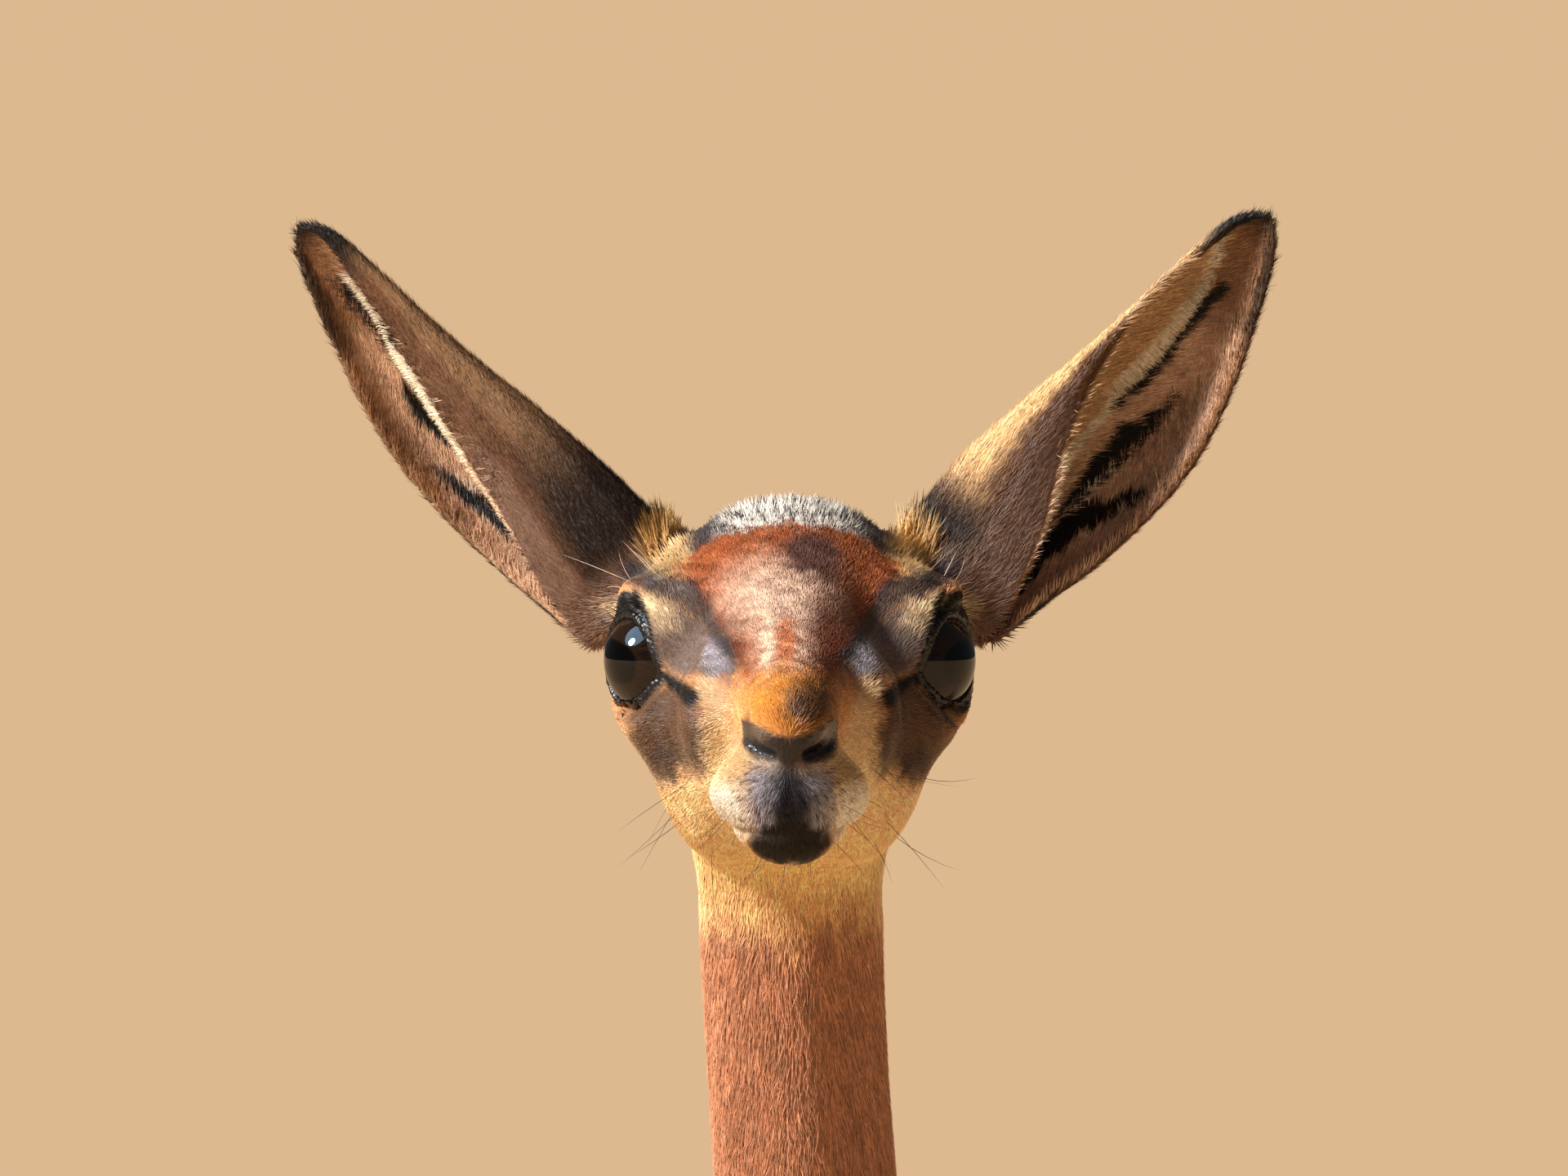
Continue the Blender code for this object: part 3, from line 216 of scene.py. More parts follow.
# Ear: its root, its direction, and for stations along it the places of the cup's front margin,
# inner turn and rear margin across the ear, how deep the cup lies behind, and how far its two
# margins come forward.
EAR_ROOT = (0.045, -0.043, 0.022)
EAR_ALONG = (0.66, -0.15, 0.735)
EAR_ACROSS = (-0.742, 0.0, 0.669)
EAR_TABLE = (
    (-0.006, -0.0180, 0.0160, -0.0208, 0.0145, 0.0095, 0.0070),
    (0.010, -0.0142, 0.0180, -0.0240, 0.0155, 0.0120, 0.0045),
    (0.030, -0.0090, 0.0182, -0.0282, 0.0150, 0.0115, 0.0030),
    (0.050, -0.0014, 0.0163, -0.0306, 0.0140, 0.0095, 0.0020),
    (0.070, 0.0046, 0.0128, -0.0300, 0.0125, 0.0062, 0.0012),
    (0.090, 0.0074, 0.0102, -0.0250, 0.0098, 0.0030, 0.0008),
    (0.108, 0.0074, 0.0090, -0.0180, 0.0068, 0.0016, 0.0004),
    (0.124, 0.0066, 0.0076, -0.0106, 0.0040, 0.0008, 0.0002),
    (0.1315, 0.0044, 0.0050, -0.0064, 0.0020, 0.0003, 0.0001),
    (0.1355, 0.0006, 0.0010, -0.0014, 0.0004, 0.0001, 0.0001),
)
EAR_LENGTH = EAR_TABLE[-1][0]
# Corners of the cup's middle line, from the front margin round to the rear one: each one's place
# across as shares of (front margin, inner turn, rear margin), and forward as shares of (front
# margin's reach, depth, rear margin's reach).
CUP_CORNERS = (
    ((1.0, 0.0, 0.0), (1.0, 0.0, 0.0)),
    ((0.45, 0.55, 0.0), (1.08, 0.0, 0.0)),
    ((0.0, 1.0, 0.0), (0.10, 0.0, 0.0)),
    ((0.0, 0.62, 0.38), (0.0, -0.92, 0.0)),
    ((0.0, 0.18, 0.82), (0.0, -0.72, 0.0)),
    ((0.0, 0.0, 1.0), (0.0, 0.0, 1.0)),
)
EAR_HALF_THICKNESS, EAR_ROOT_THICKENING, EAR_EDGE_THINNING = 0.0016, 0.0012, 0.25
EAR_TURN_DEG = {"left": 0.0, "right": -34.0}
EAR_DROP_DEG = {"left": 0.0, "right": 1.8}
# The right ear's front margin is drawn further over its cup: by how much, along the ear.
EAR_CLOSED = {"left": 0.0, "right": 1.0}
EAR_CLOSING = (
    (0.0100, 0.0000),
    (0.0300, 0.0026),
    (0.0500, 0.0085),
    (0.0700, 0.0122),
    (0.0900, 0.0126),
    (0.1080, 0.0078),
    (0.1240, 0.0022),
    (0.1355, 0.0000),
)

# How widely the forms run into each other, and how softly the hollows end.
NECK_BLEND, LEG_BLEND, TAIL_BLEND = 0.060, 0.022, 0.012
NOSE_BLEND, JAW_BLEND, SKULL_NECK_BLEND, EAR_BLEND = 0.012, 0.014, 0.022, 0.007
LID_EDGE, TEAR_EDGE, NOSTRIL_EDGE, LIP_EDGE = 0.0012, 0.0030, 0.0015, 0.0020
# The lids' opening is round behind the pupil and more pointed towards the tear duct.
ALMOND_POWER, ALMOND_POINT, ALMOND_SLOPE = 2.0, 1.25, 0.7
FAR = 10.0

# Colours as seen on a screen, 0 to 255.
PALETTE = {
    "tan": (218, 160, 110),
    "cheek": (248, 204, 156),
    "throat": (250, 202, 140),
    "neck": (184, 130, 100),
    "nape": (124, 74, 50),
    "chestnut": (158, 88, 50),
    "chestnut dark and shade": (100, 48, 28),
    "forehead pale and sheen": (212, 180, 160),
    "pale hair and glint": (240, 208, 184),
    "orange": (196, 110, 56),
    "nose gold": (214, 142, 60),
    "nose shadow side": (78, 50, 34),
    "leather": (46, 36, 36),
    "wing": (112, 94, 82),
    "lip tan": (190, 156, 112),
    "lip grey": (152, 148, 160),
    "lip slate": (34, 33, 42),
    "lip white": (250, 238, 222),
    "lip brown": (54, 40, 36),
    "chin": (36, 28, 20),
    "chin cream": (232, 196, 158),
    "cream": (236, 208, 168),
    "cream gold": (226, 184, 122),
    "band": (118, 98, 88),
    "brow": (156, 150, 160),
    "dusk": (68, 50, 42),
    "temple": (116, 88, 74),
    "brow edge dark and shade": (52, 46, 50),
    "lid": (18, 14, 13),
    "cap": (66, 60, 62),
    "cap glint": (252, 244, 234),
    "crown": (96, 62, 54),
    "ear back": (112, 76, 50),
    "ear gold and sunlight": (244, 202, 150),
    "ear mauve": (140, 112, 98),
    "ear base dark and shade": (46, 32, 24),
    "ear pink": (222, 180, 150),
    "ear cream": (246, 228, 202),
    "ear dusky": (112, 86, 72),
    "ear black": (17, 13, 12),
    "ear rim": (158, 116, 84),
    "ear tip": (24, 17, 13),
    "saddle": (140, 82, 50),
    "flank": (202, 148, 100),
    "flank band": (220, 174, 126),
    "belly": (240, 230, 214),
    "leg": (206, 152, 104),
    "knee": (70, 48, 36),
    "black": (15, 12, 11),
}

# How far ahead of the eyes the marks of the face, the muzzle and the lips begin.
FACE, SIDE, MUZZLE, LIPS = (-0.030, -0.012), (-0.052, -0.040), (0.030, 0.050), (0.078, 0.090)
Patch = namedtuple("Patch", "tint centre radii soft strength ahead one_sided", defaults=(False,))
Stroke = namedtuple("Stroke", "tint rows soft strength ahead")

# The face's marks as seen from the front, in the order they are laid on: across, up, and for the
# points of a stroke its half width there.
# Several of these marks are painted light and shade, as the comment at each says.
FACE_MARKS = (
    # Darker patches below each eye, partly painted shade.
    Patch("dusk", (0.0330, -0.0190), (0.0130, 0.0130), 0.35, 0.9, FACE),
    Patch("dusk", (0.0345, -0.0290), (0.0050, 0.0060), 0.5, 0.8, FACE),
    Patch("dusk", (0.0245, -0.0270), (0.0030, 0.0055), 0.5, 0.7, FACE),
    Patch("chestnut", (0.0215, -0.0110), (0.0042, 0.0070), 0.5, 0.9, FACE),
    # Darker chestnut on both sides of the forehead, partly its own colour and partly painted shade.
    Patch("chestnut dark and shade", (0.0160, 0.0040), (0.0040, 0.0110), 0.6, 0.7, FACE),
    # Paler middle of the forehead, partly its own colour and partly painted sheen of lit hair.
    Patch("forehead pale and sheen", (-0.0030, 0.0170), (0.0150, 0.0105), 0.6, 0.95, FACE, True),
    Patch("forehead pale and sheen", (-0.0010, 0.0020), (0.0085, 0.0090), 0.6, 0.75, FACE, True),
    Patch("orange", (-0.0010, 0.0045), (0.0030, 0.0062), 0.5, 0.8, FACE, True),
    # Painted shade: darker chestnut on the +X side of the forehead only.
    Patch("chestnut dark and shade", (0.0100, 0.0060), (0.0038, 0.0105), 0.6, 0.75, FACE, True),
    # Painted highlight: a pale streak down the forehead where lit hair shines.
    Patch("pale hair and glint", (-0.0062, 0.0040), (0.0016, 0.0110), 0.6, 0.85, FACE, True),
    Patch("crown", (0.0060, 0.0290), (0.0082, 0.0058), 0.35, 1.0, (-0.045, -0.030), True),
    Patch("crown", (0.0105, 0.0225), (0.0038, 0.0040), 0.5, 0.8, FACE, True),
    Stroke(
        "band",
        (
            (0.0500, 0.0110, 0.0020),
            (0.0440, 0.0130, 0.0048),
            (0.0360, 0.0085, 0.0080),
            (0.0280, 0.0030, 0.0080),
            (0.0215, 0.0005, 0.0056),
            (0.0180, -0.0020, 0.0030),
        ),
        0.0022,
        1.0,
        SIDE,
    ),
    Patch("cream", (0.0420, 0.0148), (0.0080, 0.0032), 0.6, 0.9, SIDE),
    Patch("cream", (0.0345, 0.0110), (0.0038, 0.0040), 0.7, 0.5, FACE),
    Patch("brow", (0.0203, 0.0006), (0.0036, 0.0054), 0.5, 0.95, FACE),
    # Dark edge between forehead and brow band, running down to the inner brow, partly painted shade in the crease.
    Stroke(
        "brow edge dark and shade",
        (
            (0.0440, 0.0236, 0.0026),
            (0.0370, 0.0212, 0.0040),
            (0.0290, 0.0186, 0.0038),
            (0.0225, 0.0112, 0.0026),
            (0.0160, 0.0015, 0.0018),
        ),
        0.0018,
        0.9,
        SIDE,
    ),
    Stroke(
        "cream",
        ((0.0215, -0.0085, 0.0030), (0.0195, -0.0200, 0.0042), (0.0180, -0.0320, 0.0045)),
        0.0024,
        0.8,
        (0.018, 0.032),
    ),
    Patch("nose gold", (0.0, -0.0120), (0.0125, 0.0100), 0.4, 1.0, MUZZLE),
    # Painted shade: the +X side of the nose top, away from the key light, is darker.
    Patch("nose shadow side", (0.0050, -0.0125), (0.0062, 0.0070), 0.6, 0.9, MUZZLE, True),
    Patch("lip tan", (0.0110, -0.0290), (0.0090, 0.0062), 0.5, 0.9, LIPS),
    Patch("lip white", (0.0172, -0.0418), (0.0070, 0.0076), 0.5, 0.9, LIPS),
    Patch("lip grey", (0.0048, -0.0390), (0.0074, 0.0108), 0.40, 1.0, LIPS),
    Patch("lip slate", (0.0, -0.0390), (0.0052, 0.0125), 0.55, 1.0, LIPS),
    Patch("lip brown", (0.0, -0.0475), (0.0100, 0.0030), 0.6, 0.85, LIPS),
    Patch("chin cream", (0.0, -0.0575), (0.0150, 0.0052), 0.5, 0.85, MUZZLE),
    Patch("chin", (0.0, -0.0500), (0.0112, 0.0062), 0.18, 1.0, (0.068, 0.080)),
    Patch("chin", (-0.0048, -0.0602), (0.0044, 0.0011), 0.5, 0.85, MUZZLE, True),
    Patch("chin", (0.0112, -0.0553), (0.0026, 0.0015), 0.5, 0.85, MUZZLE, True),
)
# Fluffy light hair at the root of each ear.
EAR_FLUFF = Patch("cream gold", (0.0345, 0.0320), (0.0062, 0.0075), 0.5, 0.9, (-0.075, -0.055))
# Upper edge of the chestnut forehead and the cap's lower rim: across, up.
CHESTNUT_EDGE = (
    (-0.0090, 0.0120),
    (-0.0025, 0.0132),
    (0.0073, 0.0180),
    (0.0198, 0.0278),
    (0.0281, 0.0335),
    (0.0500, 0.0350),
)
CAP_RIM = ((0.0, 0.0372), (0.0100, 0.0366), (0.0170, 0.0350), (0.0250, 0.0305), (0.0310, 0.0255), (0.0400, 0.0180))
# The bare nose leather's upper and lower edge: across, up.
LEATHER_TOP = ((0.0, -0.0212), (0.0050, -0.0200), (0.0095, -0.0175), (0.0130, -0.0162))
LEATHER_FOOT = ((0.0, -0.0300), (0.0035, -0.0274), (0.0070, -0.0266), (0.0115, -0.0250), (0.0142, -0.0210))
LEATHER_HALF_WIDTH = 0.0142
TEAR_LINE = ((0.0350, -0.0040, 0.0010), (0.0300, -0.0080, 0.0020), (0.0268, -0.0106, 0.0025))

# The ear's stripes: along the ear, across it, half width.
EAR_STRIPES = (
    ((0.0630, -0.0010, 0.0008), (0.0700, -0.0018, 0.0024), (0.0800, -0.0023, 0.0034), (0.0926, -0.0011, 0.0034),
     (0.1120, -0.0020, 0.0018)),
    ((0.0310, -0.0100, 0.0006), (0.0420, -0.0110, 0.0024), (0.0520, -0.0108, 0.0040), (0.0640, -0.0118, 0.0045),
     (0.0790, -0.0146, 0.0016)),
    ((-0.0030, -0.0172, 0.0012), (0.0105, -0.0158, 0.0024), (0.0232, -0.0152, 0.0034), (0.0365, -0.0172, 0.0038),
     (0.0540, -0.0262, 0.0014)),
)
# The right ear's stripes as seen from the front: along the ear, across it from the middle line, half width.
SEEN_EAR = ((0.0451, 0.0219), (0.1391, 0.1227))
SEEN_STRIPES = (
    ((0.1200, 0.0024, 0.0008), (0.1127, 0.0023, 0.0022), (0.0993, 0.0024, 0.0019), (0.0864, 0.0040, 0.0010)),
    ((0.0850, 0.0098, 0.0006), (0.0740, 0.0115, 0.0030), (0.0643, 0.0118, 0.0017)),
    ((0.0580, 0.0188, 0.0010), (0.0440, 0.0168, 0.0027), (0.0327, 0.0165, 0.0017), (0.0200, 0.0176, 0.0010),
     (0.0040, 0.0192, 0.0008)),
)
# The pale ground of the right ear's fringe, in the same terms.
SEEN_FRINGE = ((0.0560, 0.0104, 0.0010), (0.0640, 0.0092, 0.0018), (0.0850, 0.0022, 0.0024), (0.1000, 0.0004, 0.0022),
               (0.1160, -0.0012, 0.0010))
# How far the left ear's pale fringe stands in from the front margin, along the ear.
EAR_ROLL_OVER = ((0.0450, 0.0), (0.0560, 0.0030), (0.0700, 0.0060), (0.0900, 0.0080), (0.1080, 0.0066), (0.1240, 0.0))
# A thin bright line between two of the stripes.
EAR_CREAM_LINE = ((0.0200, -0.0125, 0.0007), (0.0400, -0.0141, 0.0010), (0.0560, -0.0166, 0.0006))

# The mesh of the skin: boxes and grid steps, and the height where the fine and coarse meshes join.
HEAD_BOX, HEAD_STEP = ((-0.180, -0.600, 1.070), (0.150, -0.310, 1.480)), 0.0012
BODY_BOX, BODY_STEP = ((-0.150, -0.500, 0.000), (0.150, 0.600, 1.110)), 0.0065
JOIN_HEIGHT, JOIN_GAP = 1.085, 0.004
PAINT_CHANGE = 1.19
# How far the skin's front margin of the ear cup stays behind the solid's, to leave room for the fringe.
FRINGE_ROOM = 0.0034
FOOT_IN_HOOF = 0.003
SEEN_DROP = 0.035
SKIN_SHADE = 0.80
# The lids' edges: half widths above and below the eye, how far they come over the opening, their
# middle's height over the eyeball, how softly they join, and how far around them the field reaches.
RIM_HALF_ABOVE, RIM_HALF_BELOW, RIM_OVER_EYE, RIM_RISE = 0.0016, 0.0011, 0.0012, 0.0004
RIM_BLEND, LID_REACH = 0.0012, 0.0120
# The fold of the eyelids: how far outside their rim, its half width and depth.
CREASE_FROM_RIM, CREASE_HALF_WIDTH, CREASE_DEPTH = 0.0056, 0.0014, 0.0010

# Coat by region: number of tufts, and their length, width and lift.
COAT = {
    "muzzle": (56000, 0.0023, 0.00040, 0.09),
    "face": (62000, 0.0030, 0.00046, 0.09),
    "crown": (44000, 0.0044, 0.00054, 0.16),
    "ear_left": (52000, 0.0030, 0.00036, 0.12),
    "ear_right": (52000, 0.0030, 0.00036, 0.12),
    "neck_upper": (48000, 0.0068, 0.00070, 0.08),
    "neck_lower": (26000, 0.0110, 0.00130, 0.08),
    "trunk_left": (36000, 0.0150, 0.00190, 0.07),
    "trunk_right": (36000, 0.0150, 0.00190, 0.07),
    "forelegs": (18000, 0.0085, 0.00110, 0.07),
    "hindlegs": (22000, 0.0085, 0.00110, 0.07),
    "tail": (4000, 0.0110, 0.00100, 0.12),
}
SEED = 41
TUFT_SWING, TUFT_TONE, TUFT_PATCH = 0.16, 0.20, 0.003
# How high a tuft's ridge stands, as a share of its width, and its shade at the foot, ridge and tip: darker at the foot
# as painted shade within the coat, lighter at the tip as painted light.
TUFT_RIDGE, TUFT_PAINTED_DEPTH = 0.22, (0.82, 0.82, 1.12, 1.30)
CLUMP_SWING, CLUMP_TONE, CLUMP_SIZE = 0.22, 0.16, 0.0034
HAIR_SHINE = 0.28
FRINGE_HAIRS, TAIL_HAIRS, LASHES = 2700, 700, 60
LASH_LENGTHS, LASH_WIDTH = (0.0030, 0.0055), 0.00024
# Length of the ears' pale fringe by the distance along the ear.
FRINGE_LENGTHS = ((0.0, 0.0015), (0.020, 0.0022), (0.032, 0.0042), (0.060, 0.0058), (0.085, 0.0072), (0.114, 0.0050))

# Single long hairs: tint, number, the box of their roots (across, ahead, up from the eyes), the
# most that the skin there may face backwards, lengths, width, how upright, how scattered, bend.
Hairs = namedtuple("Hairs", "tint count low high facing lengths width stand spread bend")
STRAY_HAIRS = {
    "cheek_whiskers": Hairs(
        "lid", 18, (0.016, 0.000, -0.056), (0.046, 0.060, -0.026), 0.4, (0.014, 0.028), 0.00018, 0.75, 0.22, -0.10
    ),
    "muzzle_whiskers": Hairs(
        "lid", 22, (0.006, 0.080, -0.052), (0.026, 0.120, -0.026), 0.4, (0.006, 0.014), 0.00016, 0.80, 0.25, -0.12
    ),
    "chin_hairs": Hairs(
        "lid", 9, (0.0, 0.060, -0.062), (0.014, 0.112, -0.048), 0.9, (0.006, 0.012), 0.00016, 0.70, 0.25, 0.05
    ),
    "brow_hairs": Hairs(
        "pale hair and glint", 10, (0.036, -0.020, 0.016), (0.050, 0.008, 0.030), 0.9, (0.012, 0.022), 0.00024, 0.45, 0.22, -0.10
    ),
    "knee_brushes": Hairs(
        "knee", 420, (0.052, -0.272, -1.006), (0.084, -0.232, -0.966), -0.35, (0.014, 0.024), 0.0011, 0.22, 0.10, -0.10
    ),
}

# Eyes: pupil and iris as shares of the eyeball's radius, bulge of the front, and gap to the lids.
PUPIL_HALF_LENGTH, PUPIL_HALF_HEIGHT, IRIS_EDGE = 0.50, 0.34, 0.90
CORNEA_BULGE, GAP_TO_LIDS = 0.0007, 0.0001

# Hooves: how the smooth outline fits the solid one, rings up the wall, and the dewclaws' places.
CLAW_FIT, HOOF_RINGS = 0.97, 9
DEWCLAW_AT = {"fore": (-0.1685, 0.078), "hind": (0.4770, 0.080)}

# Camera and surroundings.
CAMERA_AWAY, CAMERA_DOWN_DEG = 7.0, 2.0
VIEW_WIDTH, VIEW_ASIDE, VIEW_UP = 0.43776, -0.0016, 0.0201
FLOOR_REACH, FLOOR_COLOUR = 400.0, (206, 175, 138)
WORLD_COLOUR, WORLD_STRENGTH = (236, 238, 242), 0.095
# The main light: strength, colour, softness, and the way it comes from (across, towards the viewer, up).
KEY_STRENGTH, KEY_COLOUR, KEY_SOFT_DEG, KEY_FROM = 6.4, (1.0, 0.93, 0.84), 13.0, (-0.80, -0.30, 0.57)
# A broad cool light from above and aside: place from the eyes, size, power, colour. It shows as a shine only.
SKY_PLACE, SKY_SIZE, SKY_POWER, SKY_COLOUR = (-1.9, -0.63, 2.08), 2.2, 75.0, (0.40, 0.70, 1.0)


def smooth_min(a, b, blend):
    share = np.clip(0.5 + 0.5 * (b - a) / blend, 0.0, 1.0)
    return b + (a - b) * share - blend * share * (1.0 - share)


def smooth_max(a, b, blend):
    return -smooth_min(-a, -b, blend)


def smooth_step(value, start, end):
    share = np.clip((value - start) / (end - start), 0.0, 1.0)
    return share * share * (3.0 - 2.0 * share)


def curve_through(rows, steps):
    """Rows on a Catmull-Rom curve through the given rows, with so many steps between each two."""
    rows = np.asarray(rows, float)
    padded = np.vstack((2 * rows[0] - rows[1], rows, 2 * rows[-1] - rows[-2]))
    made = []
    for i in range(len(rows) - 1):
        before, start, end, after = padded[i : i + 4]
        for t in np.arange(steps) / steps:
            square = 2 * before - 5 * start + 4 * end - after
            cube = 3 * start - before - 3 * end + after
            made.append(0.5 * (2 * start + (end - before + (square + cube * t) * t) * t))
    made.append(rows[-1])
    return np.array(made)


def oval_distance(across, along, half_width, half_depth):
    """About how far a point is outside an oval, from its offsets from the oval's centre."""
    near = np.sqrt((across / half_width) ** 2 + (along / half_depth) ** 2)
    slope = np.sqrt((across / half_width**2) ** 2 + (along / half_depth**2) ** 2)
    return near * (near - 1.0) / np.maximum(slope, 1e-9)


def tube(points, stations, steps=3, margin=0.07):
    """Field of a limb: oval sections, wide across X, along a smooth curve through the stations."""
    rows = curve_through(stations, steps)
    low = rows[:, :3].min(0) - rows[:, 3:].max()
    high = rows[:, :3].max(0) + rows[:, 3:].max()
    outside = np.maximum(np.maximum(low - points, points - high), 0.0)
    distance = np.linalg.norm(outside, axis=1)
    close = distance < margin
    near = points[close]
    best = np.full(len(near), FAR)
    for start, end in zip(rows, rows[1:]):
        run = end[:3] - start[:3]
        from_start = near - start[:3]
        share = np.clip(from_start @ run / (run @ run), 0.0, 1.0)
        offset = from_start - share[:, None] * run
        half_width = start[3] + share * (end[3] - start[3])
        half_depth = start[4] + share * (end[4] - start[4])
        depth = np.hypot(offset[:, 1], offset[:, 2])
        best = np.minimum(best, oval_distance(offset[:, 0], depth, half_width, half_depth))
    distance[close] = best
    return distance


def turned(degrees):
    """Rotation matrix for angles about X, Y and Z."""
    x, y, z = (math.radians(d) for d in degrees)
    about_x = np.array(((1, 0, 0), (0, math.cos(x), -math.sin(x)), (0, math.sin(x), math.cos(x))))
    about_y = np.array(((math.cos(y), 0, math.sin(y)), (0, 1, 0), (-math.sin(y), 0, math.cos(y))))
    about_z = np.array(((math.cos(z), -math.sin(z), 0), (math.sin(z), math.cos(z), 0), (0, 0, 1)))
    return about_z @ about_y @ about_x


def egg(points, centre, radii, degrees=(0, 0, 0)):
    """Field of an ellipsoid."""
    local = (points - np.array(centre)) @ turned(degrees)
    radii = np.array(radii)
    near = np.linalg.norm(local / radii, axis=1)
    slope = np.linalg.norm(local / radii**2, axis=1)
    return near * (near - 1.0) / np.maximum(slope, 1e-9)


def mirrored(points):
    """Points with their X made positive, so that one form stands for a pair."""
    paired = points.copy()
    paired[:, 0] = np.abs(paired[:, 0])
    return paired


def stepped(points, legs):
    """Points moved back by each side's stride, so that one leg's form serves both sides."""
    moved = mirrored(points)
    stride = np.where(points[:, 0] > 0, STRIDE[legs + "_left"], STRIDE[legs + "_right"])
    moved[:, 1] -= stride * (1.0 - smooth_step(points[:, 2], 0.03, STRIDE_FROM))
    return moved


def body_field(points):
    """Trunk, legs, tail and neck."""
    paired = mirrored(points)
    trunk = [(0.0, *row) for row in TRUNK]
    flesh = tube(points, trunk, margin=0.12)
    for centre, radii, pitch, blend in MUSCLES:
        flesh = smooth_min(flesh, egg(paired, centre, radii, (pitch, 0, 0)), blend)
    flesh = smooth_min(flesh, neck_field(points), NECK_BLEND)
    fore, hind = stepped(points, "fore"), stepped(points, "hind")
    flesh = smooth_min(flesh, tube(fore, FORELEG), LEG_BLEND)
    leg = tube(hind, HINDLEG)
    centre, radii, pitch, blend = HOCK_POINT
    leg = smooth_min(leg, egg(hind, centre, radii, (pitch, 0, 0)), blend)
    flesh = smooth_min(flesh, leg, LEG_BLEND)
    return smooth_min(flesh, tube(points, TAIL), TAIL_BLEND)


def neck_field(points):
    return tube(points, [(0.0, *row) for row in NECK], margin=0.12)


def eye_frame():
    """Axes of the left eye: outward, along the lids towards the tear duct, and up."""
    ahead, tilt = math.radians(EYE_AHEAD_DEG), math.radians(EYE_TILT_DEG)
    outward = np.array((math.cos(ahead), math.sin(ahead), 0.0))
    along = np.array((-math.sin(ahead), math.cos(ahead), 0.0)) * math.cos(tilt)
    along[2] = -math.sin(tilt)
    return outward, along, np.cross(outward, along)


def lid_opening(paired):
    """Field of the almond space between the lids, from the eyeball outwards."""
    outward, along, up = eye_frame()
    offset = paired - np.array(EYE_CENTRE)
    reach = np.maximum(np.linalg.norm(offset, axis=1), 1e-6)
    length = offset @ along / reach / OPENING_HALF_LENGTH
    height = np.abs(offset @ up) / reach / OPENING_HALF_HEIGHT
    power = np.where(length > 0, ALMOND_POINT, ALMOND_POWER)
    almond = (height**power + length**2 - 1.0) * OPENING_HALF_HEIGHT * reach * ALMOND_SLOPE
    return np.maximum(almond, -(offset @ outward))


def head_to_local(points):
    """Metres across, ahead of and above the point midway between the eyeballs."""
    return np.column_stack((points[:, 0], -points[:, 1] - EYE_FORWARD, points[:, 2] - EYE_HEIGHT))


def ear_frame():
    """Axes of the left ear, in the head's own directions: along, across its cup, and forward."""
    along = np.array(EAR_ALONG) / np.linalg.norm(EAR_ALONG)
    across = np.array(EAR_ACROSS) - (np.array(EAR_ACROSS) @ along) * along
    across /= np.linalg.norm(across)
    return along, across, np.cross(across, along)


def ear_section(distance, closed):
    """The cup's middle line at distances along the ear: lists of across and forward offsets."""
    table = curve_through(EAR_TABLE, 4)
    front, turn, rear, depth, front_out, rear_out = (
        np.interp(distance, table[:, 0], table[:, i]) for i in range(1, 7)
    )
    front = front + FRINGE_ROOM * smooth_step(distance, 0.010, 0.045) * (1.0 - smooth_step(distance, 0.098, 0.124))
    front = front - closed * np.interp(distance, *np.array(EAR_CLOSING).T)
    across, outward = np.stack((front, turn, rear)), np.stack((front_out, depth, rear_out))
    corners = [np.append(wide @ across, deep @ outward) for wide, deep in np.array(CUP_CORNERS)]
    line = curve_through(corners, 3)
    half = line.shape[1] // 2
    return line[:, :half], line[:, half:]


def ear_field(local):
    """Field of both ears, in the head's own directions."""
    along, across, forward = ear_frame()
    left = local[:, 0] > 0
    drop = np.radians(np.where(left, EAR_DROP_DEG["left"], EAR_DROP_DEG["right"]))
    offset = mirrored(local) - np.array(EAR_ROOT)
    out, up = offset[:, 0].copy(), offset[:, 2].copy()
    offset[:, 0] = out * np.cos(drop) - up * np.sin(drop)
    offset[:, 2] = out * np.sin(drop) + up * np.cos(drop)
    distance = np.full(len(local), FAR)
    from_middle = np.linalg.norm(offset - along * EAR_LENGTH / 2, axis=1)
    close = from_middle < EAR_LENGTH * 0.72
    offset, left = offset[close], left[close]
    reach = offset @ along
    turn = np.radians(np.where(left, EAR_TURN_DEG["left"], EAR_TURN_DEG["right"]))
    wide, deep = offset @ across, offset @ forward
    wide, deep = wide * np.cos(turn) - deep * np.sin(turn), wide * np.sin(turn) + deep * np.cos(turn)
    station = np.clip(reach, EAR_TABLE[0][0], EAR_LENGTH)
    closed = np.where(left, EAR_CLOSED["left"], EAR_CLOSED["right"])
    line_wide, line_deep = ear_section(station, closed)
    best = np.full(len(reach), FAR)
    pieces = len(line_wide) - 1
    for i in range(pieces):
        run_wide, run_deep = line_wide[i + 1] - line_wide[i], line_deep[i + 1] - line_deep[i]
        from_wide, from_deep = wide - line_wide[i], deep - line_deep[i]
        length = np.maximum(run_wide**2 + run_deep**2, 1e-12)
        share = np.clip((from_wide * run_wide + from_deep * run_deep) / length, 0.0, 1.0)
        flat = np.hypot(from_wide - share * run_wide, from_deep - share * run_deep)
        edge = abs((i + 0.5) / pieces - 0.5) * 2.0
        best = np.minimum(best, flat - EAR_HALF_THICKNESS * (1.0 - EAR_EDGE_THINNING * edge**4))
    best = np.hypot(np.maximum(best, 0.0), reach - station) + np.minimum(best, 0.0)
    best -= EAR_ROOT_THICKENING * (1.0 - smooth_step(reach, 0.0, 0.05))
    distance[close] = best
    distance[~close] = from_middle[~close] - EAR_LENGTH * 0.60
    return distance


def nostril_field(paired):
    """Field of a nostril: a comma-shaped slit that runs well into the muzzle."""
    flat = paired * (1.0, 1.0 / SLIT_DEPTH, 1.0)
    return tube(flat, np.array(NOSTRIL) * (1.0, 1.0 / SLIT_DEPTH, 1.0, 1.0, 1.0))


